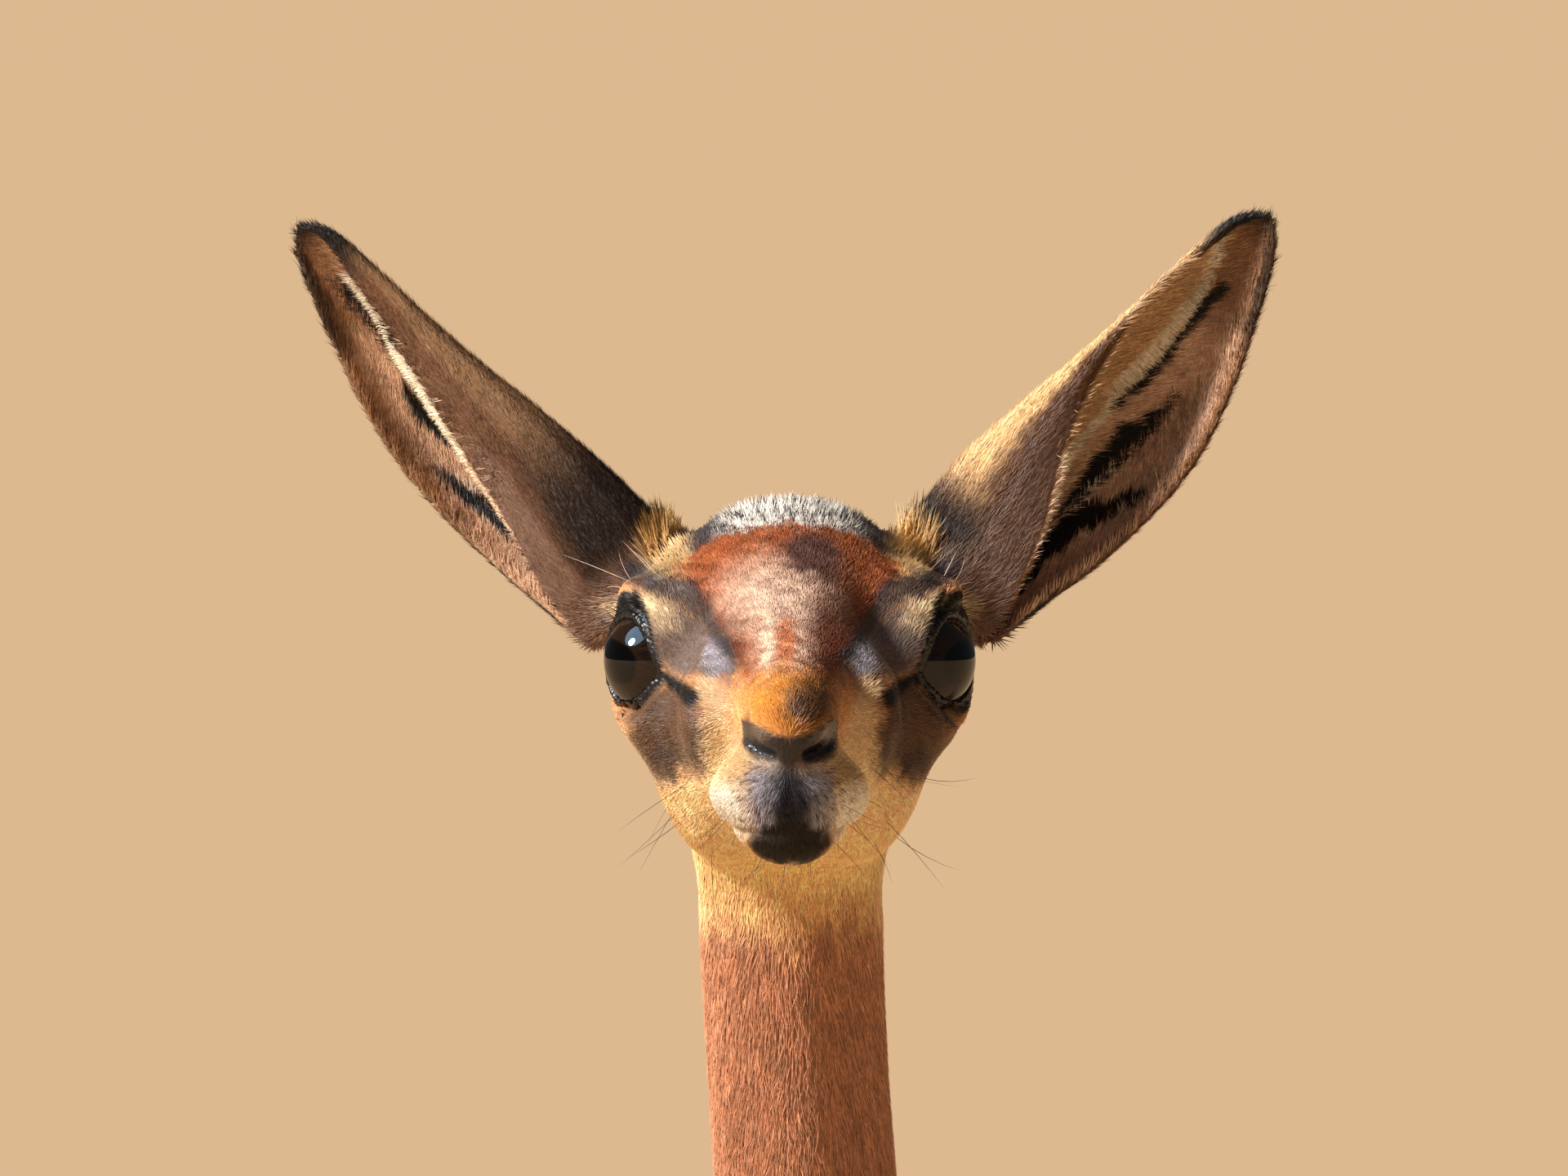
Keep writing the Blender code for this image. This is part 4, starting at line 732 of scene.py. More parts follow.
def head_field(points):
    """Head with its ears and the top of the neck."""
    local = head_to_local(points)
    paired = mirrored(local)
    flesh = egg(local, *CRANIUM)
    flesh = smooth_min(flesh, tube(local, NOSE_LINE), NOSE_BLEND)
    flesh = smooth_min(flesh, tube(local, JAW), JAW_BLEND)
    for centre, radii, degrees, blend in FACE_FORMS:
        flesh = smooth_min(flesh, egg(paired, centre, radii, degrees), blend)
    for centre, radii, blend in MUZZLE_FORMS:
        flesh = smooth_min(flesh, egg(local, centre, radii), blend)
    flesh = smooth_min(flesh, neck_field(points), SKULL_NECK_BLEND)
    ball = np.linalg.norm(paired - np.array(EYE_CENTRE), axis=1) - EYE_RADIUS
    flesh = smooth_min(flesh, ball - LID_THICKNESS, LID_BLEND)
    flesh = smooth_max(flesh, -lid_opening(paired), LID_EDGE)
    flesh = smooth_max(flesh, -tube(paired, TEAR_GROOVE), TEAR_EDGE)
    flesh = smooth_max(flesh, -nostril_field(paired), NOSTRIL_EDGE)
    flesh = smooth_max(flesh, -tube(paired, MOUTH), LIP_EDGE)
    flesh = smooth_max(flesh, -tube(paired, PHILTRUM), LIP_EDGE)
    return smooth_min(flesh, ear_field(local), EAR_BLEND)


def flesh_field(points):
    """The whole animal. Head and body are both pure neck where they change over."""
    straight = points.copy()
    straight[:, 0] -= HEAD_LEAN * smooth_step(points[:, 2], LEAN_FROM, LEAN_TO)
    upper = points[:, 2] > NECK_CHANGEOVER
    field = np.empty(len(points))
    field[upper] = head_field(straight[upper])
    field[~upper] = body_field(straight[~upper])
    return field


def sampled(field, low, high, step, block=8):
    """Field values on a grid, worked out only in the blocks that the surface may cross."""
    low = np.asarray(low, float)
    counts = np.ceil((np.asarray(high) - low) / (step * block)).astype(int)
    places = np.indices(counts).reshape(3, -1).T
    rough = field(low + (places + 0.5) * step * block)
    grid = np.where(rough < 0, -FAR, FAR).reshape(counts).astype(np.float32)
    grid = grid.repeat(block, 0).repeat(block, 1).repeat(block, 2)
    grid = np.pad(grid, ((0, 1), (0, 1), (0, 1)), mode="edge")
    corners = np.indices((block + 1,) * 3).reshape(3, -1).T
    near = places[np.abs(rough) < step * block * 1.3]
    for some in np.array_split(near, max(1, len(near) // 300)):
        cells = (some[:, None, :] * block + corners).reshape(-1, 3)
        grid[tuple(cells.T)] = field(low + cells * step)
    return grid


def settled(field, vertices, rounds=2, reach=0.0004, limit=0.002):
    """Vertices moved along the field's slope onto the surface."""
    for _ in range(rounds):
        value = field(vertices)
        slope = np.column_stack(
            [field(vertices + reach * axis) - field(vertices - reach * axis) for axis in np.eye(3)]
        ) / (2 * reach)
        size = np.maximum((slope**2).sum(1), 0.05)
        step = -slope * (value / size)[:, None]
        length = np.maximum(np.linalg.norm(step, axis=1), 1e-9)
        vertices = vertices + step * np.minimum(1.0, limit / length)[:, None]
    return vertices


def linear(colour):
    """A colour's light from its screen values."""
    share = np.asarray(colour, float) / 255.0
    return np.where(share <= 0.04045, share / 12.92, ((share + 0.055) / 1.055) ** 2.4)


TINTS = {name: linear(colour) for name, colour in PALETTE.items()}


def blend_in(colour, name, weight):
    """Colours moved towards one of the palette by a weight from 0 to 1."""
    return colour + (TINTS[name] - colour) * weight[:, None]


def along_line(across, up, rows, soft):
    """Weight that is 1 on a line of changing width and 0 beside it."""
    best = np.full(len(across), FAR)
    for start, end in zip(rows, rows[1:]):
        run_x, run_z = end[0] - start[0], end[1] - start[1]
        share = ((across - start[0]) * run_x + (up - start[1]) * run_z) / (run_x**2 + run_z**2)
        share = np.clip(share, 0.0, 1.0)
        off = np.hypot(across - start[0] - share * run_x, up - start[1] - share * run_z)
        best = np.minimum(best, off - (start[2] + share * (end[2] - start[2])))
    return 1.0 - smooth_step(best, -soft, soft)


def spot(across, up, centre, radii, soft=0.2):
    """Weight that is 1 within an oval and 0 outside it."""
    away = np.hypot((across - centre[0]) / radii[0], (up - centre[1]) / radii[1])
    return 1.0 - smooth_step(away, 1.0 - soft, 1.0 + soft)


def straightened(points):
    """Points with the lean of head and neck taken out."""
    straight = points.copy()
    straight[:, 0] -= HEAD_LEAN * smooth_step(points[:, 2], LEAN_FROM, LEAN_TO)
    return straight


def ear_place(local):
    """Where points lie on an ear: along it, across it, share of the cup's line, and inner side or not."""
    along, across, forward = ear_frame()
    left = local[:, 0] > 0
    drop = np.radians(np.where(left, EAR_DROP_DEG["left"], EAR_DROP_DEG["right"]))
    offset = mirrored(local) - np.array(EAR_ROOT)
    out, up = offset[:, 0].copy(), offset[:, 2].copy()
    offset[:, 0] = out * np.cos(drop) - up * np.sin(drop)
    offset[:, 2] = out * np.sin(drop) + up * np.cos(drop)
    turn = np.radians(np.where(left, EAR_TURN_DEG["left"], EAR_TURN_DEG["right"]))
    wide, deep = offset @ across, offset @ forward
    wide, deep = wide * np.cos(turn) - deep * np.sin(turn), wide * np.sin(turn) + deep * np.cos(turn)
    reach = offset @ along
    closed = np.where(left, EAR_CLOSED["left"], EAR_CLOSED["right"])
    line_wide, line_deep = ear_section(np.clip(reach, EAR_TABLE[0][0], EAR_LENGTH), closed)
    best = np.full(len(reach), FAR)
    place, inner = np.zeros(len(reach)), np.zeros(len(reach), bool)
    pieces = len(line_wide) - 1
    for i in range(pieces):
        run_wide, run_deep = line_wide[i + 1] - line_wide[i], line_deep[i + 1] - line_deep[i]
        from_wide, from_deep = wide - line_wide[i], deep - line_deep[i]
        length = np.maximum(run_wide**2 + run_deep**2, 1e-12)
        share = np.clip((from_wide * run_wide + from_deep * run_deep) / length, 0.0, 1.0)
        flat = np.hypot(from_wide - share * run_wide, from_deep - share * run_deep)
        nearer = flat < best
        best = np.where(nearer, flat, best)
        place = np.where(nearer, (i + share) / pieces, place)
        inner = np.where(nearer, run_wide * from_deep - run_deep * from_wide < 0, inner)
    return reach, wide, place, inner, best


def coat_depth(points):
    """How far the skin lies inside the solids."""
    local = head_to_local(points)
    paired = mirrored(local)
    depth = 0.0012 + 0.0010 * smooth_step(-points[:, 2], -1.22, -1.05)
    depth -= 0.0006 * smooth_step(local[:, 1], 0.05, 0.085)
    depth -= 0.0010 * smooth_step(-points[:, 2], -0.60, -0.45)
    depth -= 0.0004 * smooth_step(-points[:, 2], -0.12, -0.06)
    from_eye = np.linalg.norm(paired - np.array(EYE_CENTRE), axis=1)
    depth = np.minimum(depth, 0.0004 + 0.0008 * smooth_step(from_eye, 0.0215, 0.0275))
    crease = np.exp(-(((lid_opening(paired) - CREASE_FROM_RIM) / CREASE_HALF_WIDTH) ** 2))
    depth += CREASE_DEPTH * crease * (1.0 - smooth_step(from_eye, 0.0240, 0.0280))
    along, _, _ = ear_frame()
    reach = (paired - np.array(EAR_ROOT)) @ along
    on_ear = smooth_step(reach, 0.004, 0.020) * (local[:, 2] > 0.0)
    return depth + (0.0006 - depth) * on_ear


def coronet_height(points):
    """Height above each foot's sloping coronet."""
    height = np.full(len(points), FAR)
    for foot, stride in STRIDE.items():
        legs, side_name = foot.split("_")
        flip = 1 if side_name == "left" else -1
        own = (points[:, 0] * flip > 0) & (np.abs(points[:, 1] - FOOT_Y[legs] - stride) < 0.08)
        behind = points[:, 1] - FOOT_Y[legs] - stride
        height[own] = (points[:, 2] - CORONET_HEIGHT + CORONET_SLOPE * behind)[own]
    return height


def lid_rims(points):
    """Field of the thick edges of the lids, following the opening on the eyeball."""
    paired = mirrored(head_to_local(straightened(points)))
    offset = paired - np.array(EYE_CENTRE)
    reach = np.linalg.norm(offset, axis=1)
    above = smooth_step(offset @ eye_frame()[2], -0.003, 0.004)
    half = RIM_HALF_BELOW + (RIM_HALF_ABOVE - RIM_HALF_BELOW) * above
    sideways = lid_opening(paired) - half + RIM_OVER_EYE
    rim = np.hypot(sideways, (reach - EYE_RADIUS - RIM_RISE) * 1.25) - half
    return np.where(np.abs(reach - EYE_RADIUS) < LID_REACH, rim, FAR)


def skin_field(points):
    """The skin: the flesh less the coat's depth, ended just inside the hooves."""
    field = flesh_field(points) + coat_depth(points)
    upper = points[:, 2] > EYE_HEIGHT - LID_REACH
    if upper.any():
        field[upper] = smooth_min(field[upper], lid_rims(points[upper]), RIM_BLEND)
    low = points[:, 2] < 0.08
    if low.any():
        field[low] = np.maximum(field[low], -(coronet_height(points[low]) + FOOT_IN_HOOF))
    return field


def surface_net(grid, low, step):
    """One vertex in each grid cell that the surface crosses, and one quad about each crossed edge."""
    inside = grid < 0
    counts = np.array(grid.shape) - 1
    corners = np.indices((2, 2, 2)).reshape(3, -1).T
    views = [tuple(slice(c, c + n) for c, n in zip(corner, counts)) for corner in corners]
    full = sum(inside[view].astype(np.int8) for view in views)
    cells = np.argwhere((full > 0) & (full < 8))
    number = np.full(counts, -1, np.int64)
    number[tuple(cells.T)] = np.arange(len(cells))
    total = np.zeros((len(cells), 3))
    crossings = np.zeros(len(cells))
    values = [grid[tuple((cells + corner).T)] for corner in corners]
    for a in range(8):
        for b in range(a + 1, 8):
            if np.abs(corners[a] - corners[b]).sum() != 1:
                continue
            crossed = (values[a] < 0) != (values[b] < 0)
            fall = np.where(crossed, values[a] - values[b], 1.0)
            share = (values[a] / fall)[:, None]
            total += np.where(crossed[:, None], corners[a] + share * (corners[b] - corners[a]), 0.0)
            crossings += crossed
    vertices = np.asarray(low) + (cells + total / crossings[:, None]) * step
    quads = []
    for axis in range(3):
        one, two = [np.eye(3, dtype=int)[(axis + i) % 3] for i in (1, 2)]
        ahead = np.eye(3, dtype=int)[axis]
        start = inside[tuple(slice(0, n) for n in np.array(grid.shape) - ahead)]
        end = inside[tuple(slice(d, None) for d in ahead)]
        for here, there, flip in ((start, end, False), (end, start, True)):
            edges = np.argwhere(here & ~there)
            edges = edges[((edges - one - two) >= 0).all(1) & (edges < counts).all(1)]
            ring = [edges - one - two, edges - two, edges, edges - one]
            ring = [number[tuple(cell.T)] for cell in (ring[::-1] if flip else ring)]
            quads.append(np.column_stack(ring))
    return vertices, np.vstack(quads)


def part_mesh(box, step, finer, plane_z, keep_above):
    """A bmesh of the skin inside a box, cut level at one height."""
    low, high = np.array(box[0]), np.array(box[1])
    vertices, quads = surface_net(sampled(skin_field, low, high, step), low, step)
    vertices = settled(skin_field, vertices)
    bm = bmesh.new()
    mesh = bpy.data.meshes.new("part")
    mesh.from_pydata(vertices.tolist(), [], quads.tolist())
    bm.from_mesh(mesh)
    bpy.data.meshes.remove(mesh)
    if finer:
        bmesh.ops.subdivide_edges(bm, edges=bm.edges, cuts=1, use_grid_fill=True)
        places = np.array([vert.co for vert in bm.verts])
        for vert, place in zip(bm.verts, settled(skin_field, places)):
            vert.co = place
    everything = bm.verts[:] + bm.edges[:] + bm.faces[:]
    bmesh.ops.bisect_plane(
        bm,
        geom=everything,
        dist=1e-6,
        plane_co=(0.0, 0.0, plane_z),
        plane_no=(0.0, 0.0, 1.0 if keep_above else -1.0),
        clear_inner=True,
    )
    return bm


def keep_largest(bm):
    """Drops every separate scrap but the largest."""
    left = set(bm.verts)
    shells = []
    while left:
        queue = [left.pop()]
        shell = set(queue)
        while queue:
            for edge in queue.pop().link_edges:
                for vert in edge.verts:
                    if vert in left:
                        left.discard(vert)
                        shell.add(vert)
                        queue.append(vert)
        shells.append(shell)
    shells.sort(key=len, reverse=True)
    loose = [vert for shell in shells[1:] for vert in shell]
    bmesh.ops.delete(bm, geom=loose, context="VERTS")


def skin_mesh():
    """The whole skin in one mesh: a fine one for the head and ears, a coarser one below, joined at the neck."""
    fine = part_mesh(HEAD_BOX, HEAD_STEP, False, JOIN_HEIGHT + JOIN_GAP, True)
    keep_largest(fine)
    rest = part_mesh(BODY_BOX, BODY_STEP, True, JOIN_HEIGHT, False)
    keep_largest(rest)
    mesh = bpy.data.meshes.new("skin")
    rest.to_mesh(mesh)
    fine.from_mesh(mesh)
    rest.free()
    heights = (JOIN_HEIGHT, JOIN_HEIGHT + JOIN_GAP)
    loops = [
        edge
        for edge in fine.edges
        if edge.is_boundary
        and all(min(abs(vert.co.z - height) for height in heights) < 1e-5 for vert in edge.verts)
    ]
    bmesh.ops.bridge_loops(fine, edges=loops)
    bmesh.ops.recalc_face_normals(fine, faces=fine.faces)
    fine.to_mesh(mesh)
    fine.free()
    mesh.shade_smooth()
    return mesh


def lie_of(points, normals, ear):
    """The way the hair points at each root."""
    straight = straightened(points)
    local = head_to_local(straight)
    x, y, z = straight.T
    ahead, up = local[:, 1], local[:, 2]
    from_nose = straight - np.array((0.0, -EYE_FORWARD - 0.128, EYE_HEIGHT - 0.018))
    from_nose /= np.linalg.norm(from_nose, axis=1)[:, None]
    neck_way = np.array((0.0, 0.30, -0.95))
    neck_share = np.maximum(smooth_step(-up, 0.040, 0.075), smooth_step(-ahead, 0.060, 0.085) * (up < 0.03))
    jaw = smooth_step(-up, 0.030, 0.050)
    way = from_nose + jaw[:, None] * np.array((0.0, 0.1, -0.7))
    way = way * (1 - neck_share[:, None]) + neck_way * neck_share[:, None]
    trunk_share = 1.0 - smooth_step(z, 0.86, 1.00)
    trunk_way = np.column_stack((np.zeros(len(x)), np.ones(len(x)), -0.35 - 0.5 * smooth_step(-y, 0.1, 0.25)))
    way = way * (1 - trunk_share[:, None]) + trunk_way * trunk_share[:, None]
    leg_share = 1.0 - smooth_step(z, 0.57, 0.70)
    leg_way = np.array((0.0, 0.22, -1.0))
    way = way * (1 - leg_share[:, None]) + leg_way * leg_share[:, None]
    on_tail = smooth_step(y, 0.505, 0.530)
    tail_way = np.array((0.0, 0.15, -1.0))
    way = way * (1 - on_tail[:, None]) + tail_way * on_tail[:, None]
    if ear is not None:
        reach, wide, place, inner, _ = ear
        along, across, _ = ear_frame()
        flip = np.where(local[:, 0] > 0, 1.0, -1.0)
        fan = np.where(inner, np.where(place > 0.72, 0.75, -0.75), 0.12)
        both = along[None, :] + fan[:, None] * across[None, :]
        ear_way = np.column_stack((both[:, 0] * flip, -both[:, 1], both[:, 2]))
        share = smooth_step(reach, -0.004, 0.010)[:, None]
        way = way * (1 - share) + ear_way * share
    way -= normals * (way * normals).sum(1)[:, None]
    return way / np.maximum(np.linalg.norm(way, axis=1), 1e-6)[:, None]


def speckle(points, size, seed=0.0):
    """Smooth uneven values about 0, from -1 to 1, a few sines across each other."""
    p = points / size + seed
    a = np.sin(p[:, 0] * 2.1 + 1.7 * np.sin(p[:, 1] * 1.3 + p[:, 2] * 0.7))
    b = np.sin(p[:, 1] * 2.3 + 1.9 * np.sin(p[:, 2] * 1.1 + p[:, 0] * 0.9))
    c = np.sin(p[:, 2] * 1.9 + 1.5 * np.sin(p[:, 0] * 1.7 + p[:, 1] * 0.8))
    return (a + b + c) / 3.0


def marked(colour, signed, across, ahead, seen):
    """Colours with the face's marks laid on."""
    for mark in FACE_MARKS:
        if isinstance(mark, Patch):
            side = signed if mark.one_sided else across
            weight = spot(side, seen, mark.centre, mark.radii, mark.soft)
        else:
            weight = along_line(across, seen, mark.rows, mark.soft)
        colour = blend_in(colour, mark.tint, weight * mark.strength * smooth_step(ahead, *mark.ahead))
    return colour


def head_paint(straight):
    """Colour and bareness on the head."""
    local = head_to_local(straight)
    paired = mirrored(local)
    across, ahead, up = paired.T
    ragged = 0.0011 * speckle(straight, 0.0020) + 0.0009 * speckle(straight, 0.0055, 3.0)
    plain = up - SEEN_DROP * ahead
    seen, wide = plain + ragged, across + ragged
    colour = np.tile(TINTS["tan"], (len(local), 1))
    colour = blend_in(colour, "cheek", smooth_step(-seen, 0.014, 0.030))
    colour = blend_in(colour, "temple", smooth_step(-ahead, 0.006, 0.030) * smooth_step(seen, -0.022, -0.004))
    colour = blend_in(colour, "throat", smooth_step(-seen, 0.046, 0.058) * smooth_step(ahead, -0.060, -0.035))
    neck = smooth_step(-seen - 3.0 * ragged, 0.060, 0.084) + smooth_step(-ahead, 0.050, 0.075)
    colour = blend_in(colour, "neck", np.clip(neck, 0.0, 1.0))
    edge = np.interp(seen, *np.array(CHESTNUT_EDGE).T)
    forehead = smooth_step(edge - wide, -0.0012, 0.0016) * smooth_step(seen, -0.010, -0.005)
    colour = blend_in(colour, "chestnut", forehead * smooth_step(ahead, -0.055, -0.030))
    colour = marked(colour, local[:, 0] + ragged, wide, ahead, seen)
    rim = np.interp(across, *np.array(CAP_RIM).T)
    cap = np.maximum(smooth_step(seen - rim, -0.0012, 0.0016), smooth_step(-ahead, 0.036, 0.044))
    cap *= smooth_step(up, 0.004, 0.024) * (1.0 - smooth_step(across, 0.036, 0.042))
    colour = blend_in(colour, "cap", cap)
    # Painted highlight: near-white speckles over the middle of the cap stand in for the shine of lit hair.
    bright = smooth_step(speckle(straight, 0.0009, 4.0), -0.45, 0.10) * (1.0 - smooth_step(across, 0.012, 0.024))
    colour = blend_in(colour, "cap glint", cap * bright * 0.95)
    fluff = spot(wide, seen, EAR_FLUFF.centre, EAR_FLUFF.radii, EAR_FLUFF.soft) * smooth_step(ahead, *EAR_FLUFF.ahead)
    colour = blend_in(colour, EAR_FLUFF.tint, fluff * EAR_FLUFF.strength)
    dots = smooth_step(speckle(straight, 0.00075, 9.0), 0.42, 0.62) * smooth_step(ahead, *LIPS)
    colour = blend_in(colour, "lid", dots * spot(across, seen, (0.0075, -0.0390), (0.0115, 0.0100), 0.3) * 0.8)
    top, foot = (np.interp(across, *np.array(rows).T) for rows in (LEATHER_TOP, LEATHER_FOOT))
    leather = smooth_step(top - plain, -0.0008, 0.0008) * smooth_step(plain - foot, -0.0008, 0.0008)
    leather *= smooth_step(LEATHER_HALF_WIDTH - across, -0.0006, 0.0010) * smooth_step(ahead, 0.090, 0.098)
    groove = 1.0 - smooth_step(tube(paired, PHILTRUM), 0.0, 0.0012)
    nostril = 1.0 - smooth_step(nostril_field(paired), 0.0, 0.0012)
    mouth = 1.0 - smooth_step(tube(paired, MOUTH), 0.0, 0.0010)
    colour = blend_in(colour, "leather", np.maximum(leather, groove))
    colour = blend_in(colour, "wing", leather * spot(across, plain, (0.0090, -0.0192), (0.0036, 0.0028), 0.6))
    colour = blend_in(colour, "black", np.maximum(nostril, mouth))
    from_eye = paired - np.array(EYE_CENTRE)
    near = np.linalg.norm(from_eye, axis=1) < 0.026
    opening = lid_opening(paired)
    thick = 0.0005 + 0.0011 * smooth_step(from_eye @ eye_frame()[2], -0.002, 0.004)
    lid = (1.0 - smooth_step(opening - thick, 0.0, 0.0009)) * near
    tear = along_line(across, plain, TEAR_LINE, 0.0010) * smooth_step(ahead, *FACE)
    tear = np.maximum(tear, 1.0 - smooth_step(tube(paired, TEAR_GROOVE), 0.0, 0.0010))
    colour = blend_in(colour, "lid", np.clip(np.maximum(lid, tear), 0.0, 1.0))
    bare_lid = (1.0 - smooth_step(opening, 0.0004, 0.0012)) * near
    bare = np.maximum.reduce((leather, groove, nostril, mouth, bare_lid))
    return colour, np.clip(bare, 0.0, 1.0)


def ear_paint(straight, ear):
    """Colour on the ears, the +X ear painted as lit and the other as shaded."""
    reach, wide, place, inner, _ = ear
    ragged = 0.0008 * speckle(straight, 0.0016) + 0.0008 * speckle(straight, 0.0045, 5.0)
    rear = np.interp(reach, [row[0] for row in EAR_TABLE], [row[3] for row in EAR_TABLE])
    place = place + 20.0 * ragged
    closed = np.where(straight[:, 0] > 0, EAR_CLOSED["left"], EAR_CLOSED["right"])
    pattern = wide + ragged + 0.9 * closed * np.interp(reach, *np.array(EAR_CLOSING).T)
    seen = mirrored(head_to_local(straight))
    (root_across, root_up), (tip_across, tip_up) = SEEN_EAR
    seen_length = math.hypot(tip_across - root_across, tip_up - root_up)
    run, rise = (tip_across - root_across) / seen_length, (tip_up - root_up) / seen_length
    off_across, off_up = seen[:, 0] - root_across, seen[:, 2] - SEEN_DROP * seen[:, 1] - root_up
    seen_reach, seen_wide = off_across * run + off_up * rise, off_across * rise - off_up * run
    low = 1.0 - smooth_step(reach, 0.046, 0.066)
    # The +X ear is painted as lit and the other as shaded; sunny weights that painted light below, and also picks each
    # ear's own stripe table.
    sunny = (straight[:, 0] > 0) * 1.0
    out = np.tile(TINTS["ear back"], (len(reach), 1))
    # Painted shade: the mauve is weaker on the shaded ear, which leaves it darker.
    out = blend_in(out, "ear mauve", (1.0 - smooth_step(place, 0.10, 0.17)) * low * (0.6 + 0.4 * sunny))
    # Gold on the roll, nearly all on the lit ear: mostly painted light, with a small share of own colour on the other.
    gold = smooth_step(place, 0.20, 0.28) * (1.0 - smooth_step(place, 0.66, 0.84)) * (0.15 + 0.85 * sunny)
    out = blend_in(out, "ear gold and sunlight", gold * smooth_step(reach, 0.010, 0.030))
    # Painted shade: the base of the shaded ear's roll is nearly black.
    out = blend_in(out, "ear base dark and shade", smooth_step(place, 0.10, 0.24) * (1.0 - smooth_step(reach, 0.020, 0.060)) * (1.0 - sunny))
    dark = low * smooth_step(place, 0.36, 0.44) * smooth_step(speckle(straight, 0.0018, 7.0), -0.3, 0.5)
    out = blend_in(out, "ear back", dark * 0.7)
    out = blend_in(out, "ear base dark and shade", smooth_step(place, 0.12, 0.24) * (1.0 - smooth_step(reach, 0.008, 0.022)))
    out = blend_in(out, "ear tip", smooth_step(reach + 2.0 * ragged, 0.108, 0.126))
    pale = np.tile(TINTS["ear pink"], (len(reach), 1))
    from_rear = wide - rear + ragged
    dots = smooth_step(speckle(straight, 0.0013, 2.0), 0.0, 0.5)
    pale = blend_in(pale, "ear dusky", spot(reach, pattern, (0.072, -0.0190), (0.020, 0.0045), 0.6) * (0.3 + 0.5 * dots))
    pale = blend_in(pale, "ear rim", (1.0 - smooth_step(from_rear, 0.0012, 0.0032)) * smooth_step(reach, 0.020, 0.050))
    pale = blend_in(pale, "ear rim", smooth_step(reach + 2.0 * ragged, 0.094, 0.110))
    strip = smooth_step(reach, 0.096, 0.110) * (1.0 - smooth_step(from_rear, 0.0012, 0.0030))
    pale = blend_in(pale, "ear tip", np.maximum(0.8 * strip, smooth_step(reach, 0.124, 0.136)))
    pale = blend_in(pale, "ear cream", along_line(reach, pattern, EAR_CREAM_LINE, 0.0006))
    for stripe in EAR_STRIPES:
        black = along_line(reach + 2.0 * ragged, pattern, stripe, 0.0006)
        pale = blend_in(pale, "ear black", black * smooth_step(place, 0.30, 0.40) * sunny)
    ground = along_line(seen_reach, seen_wide + ragged, SEEN_FRINGE, 0.0010)
    pale = blend_in(pale, "ear cream", 0.8 * ground * (1.0 - sunny))
    for stripe in SEEN_STRIPES:
        black = along_line(seen_reach + 2.0 * ragged, seen_wide + ragged, stripe, 0.0006)
        pale = blend_in(pale, "ear black", black * (1.0 - sunny))
    front = np.interp(reach, [row[0] for row in EAR_TABLE], [row[1] for row in EAR_TABLE])
    over = np.interp(reach, *np.array(EAR_ROLL_OVER).T) * sunny
    rolled = 1.0 - smooth_step(front - wide - over + ragged, -0.0004, 0.0008)
    rolled *= over > 0.0004
    pale = blend_in(pale, "ear back", rolled)
    # Painted light: gold over the lit ear's rolled-over margin.
    pale = blend_in(pale, "ear gold and sunlight", 0.55 * rolled)
    pale = blend_in(pale, "ear cream", rolled * smooth_step(front - wide - over, -0.0030, -0.0010))
    return np.where(inner[:, None], pale, out)


def body_paint(straight, normals):
    """Colour below the head."""
    x, y, z = straight.T
    ragged = 0.006 * speckle(straight, 0.012) + 0.004 * speckle(straight, 0.035, 2.0)
    colour = np.tile(TINTS["flank"], (len(x), 1))
    high = z + ragged
    on_trunk = smooth_step(y, -0.30, -0.20)
    band = smooth_step(high, 0.735, 0.755) * (1 - smooth_step(high, 0.785, 0.800))
    colour = blend_in(colour, "flank band", band * on_trunk * (1 - smooth_step(y, 0.36, 0.42)))
    edge = 0.802 + 0.020 * smooth_step(y, 0.25, 0.42) - 0.012 * smooth_step(-y, 0.05, 0.20)
    colour = blend_in(colour, "saddle", smooth_step(high - edge, -0.006, 0.008))
    on_neck = smooth_step(-y - ragged, 0.235, 0.290)
    colour = blend_in(colour, "neck", on_neck)
    nape = smooth_step(normals[:, 1], 0.35, 0.85) * on_neck
    colour = blend_in(colour, "nape", nape * 0.8)
    front = smooth_step(-normals[:, 1], 0.55, 0.95) * on_neck * (1 - smooth_step(z, 0.95, 1.10))
    colour = blend_in(colour, "flank band", front * 0.7)
    under = smooth_step(-normals[:, 2], 0.35, 0.75) * on_trunk * (z > 0.40)
    low = 1 - smooth_step(high, 0.618, 0.640)
    belly = np.maximum(under, low * smooth_step(z, 0.55, 0.60) * smooth_step(0.30 - np.abs(y - 0.09), 0.0, 0.06))
    colour = blend_in(colour, "belly", np.clip(belly, 0.0, 1.0))
    leg = 1 - smooth_step(z, 0.56, 0.62)
    colour = blend_in(colour, "leg", leg)
    inward = smooth_step(-normals[:, 0] * np.sign(x), 0.15, 0.65)
    colour = blend_in(colour, "belly", inward * (1 - smooth_step(z, 0.64, 0.70)) * (0.35 + 0.65 * smooth_step(z, 0.10, 0.40)))
    knee = spot(y, z, (-0.196, 0.350), (0.016, 0.026), 0.4) * smooth_step(-normals[:, 1], 0.0, 0.5)
    colour = blend_in(colour, "knee", knee)
    rump = spot(x, z, (0.0, 0.765), (0.040, 0.075), 0.3) * smooth_step(y, 0.440, 0.480) * smooth_step(normals[:, 1], 0.2, 0.6)
    colour = blend_in(colour, "belly", rump)
    on_tail = smooth_step(y, 0.505, 0.520) * smooth_step(z, 0.50, 0.56)
    colour = blend_in(colour, "saddle", on_tail * smooth_step(z, 0.70, 0.80))
    colour = blend_in(colour, "black", on_tail * (1 - smooth_step(z + ragged, 0.700, 0.760)))
    hoof = 1 - smooth_step(coronet_height(straight), 0.0, 0.004)
    return blend_in(colour, "black", hoof * (z < 0.06) * 0.8)


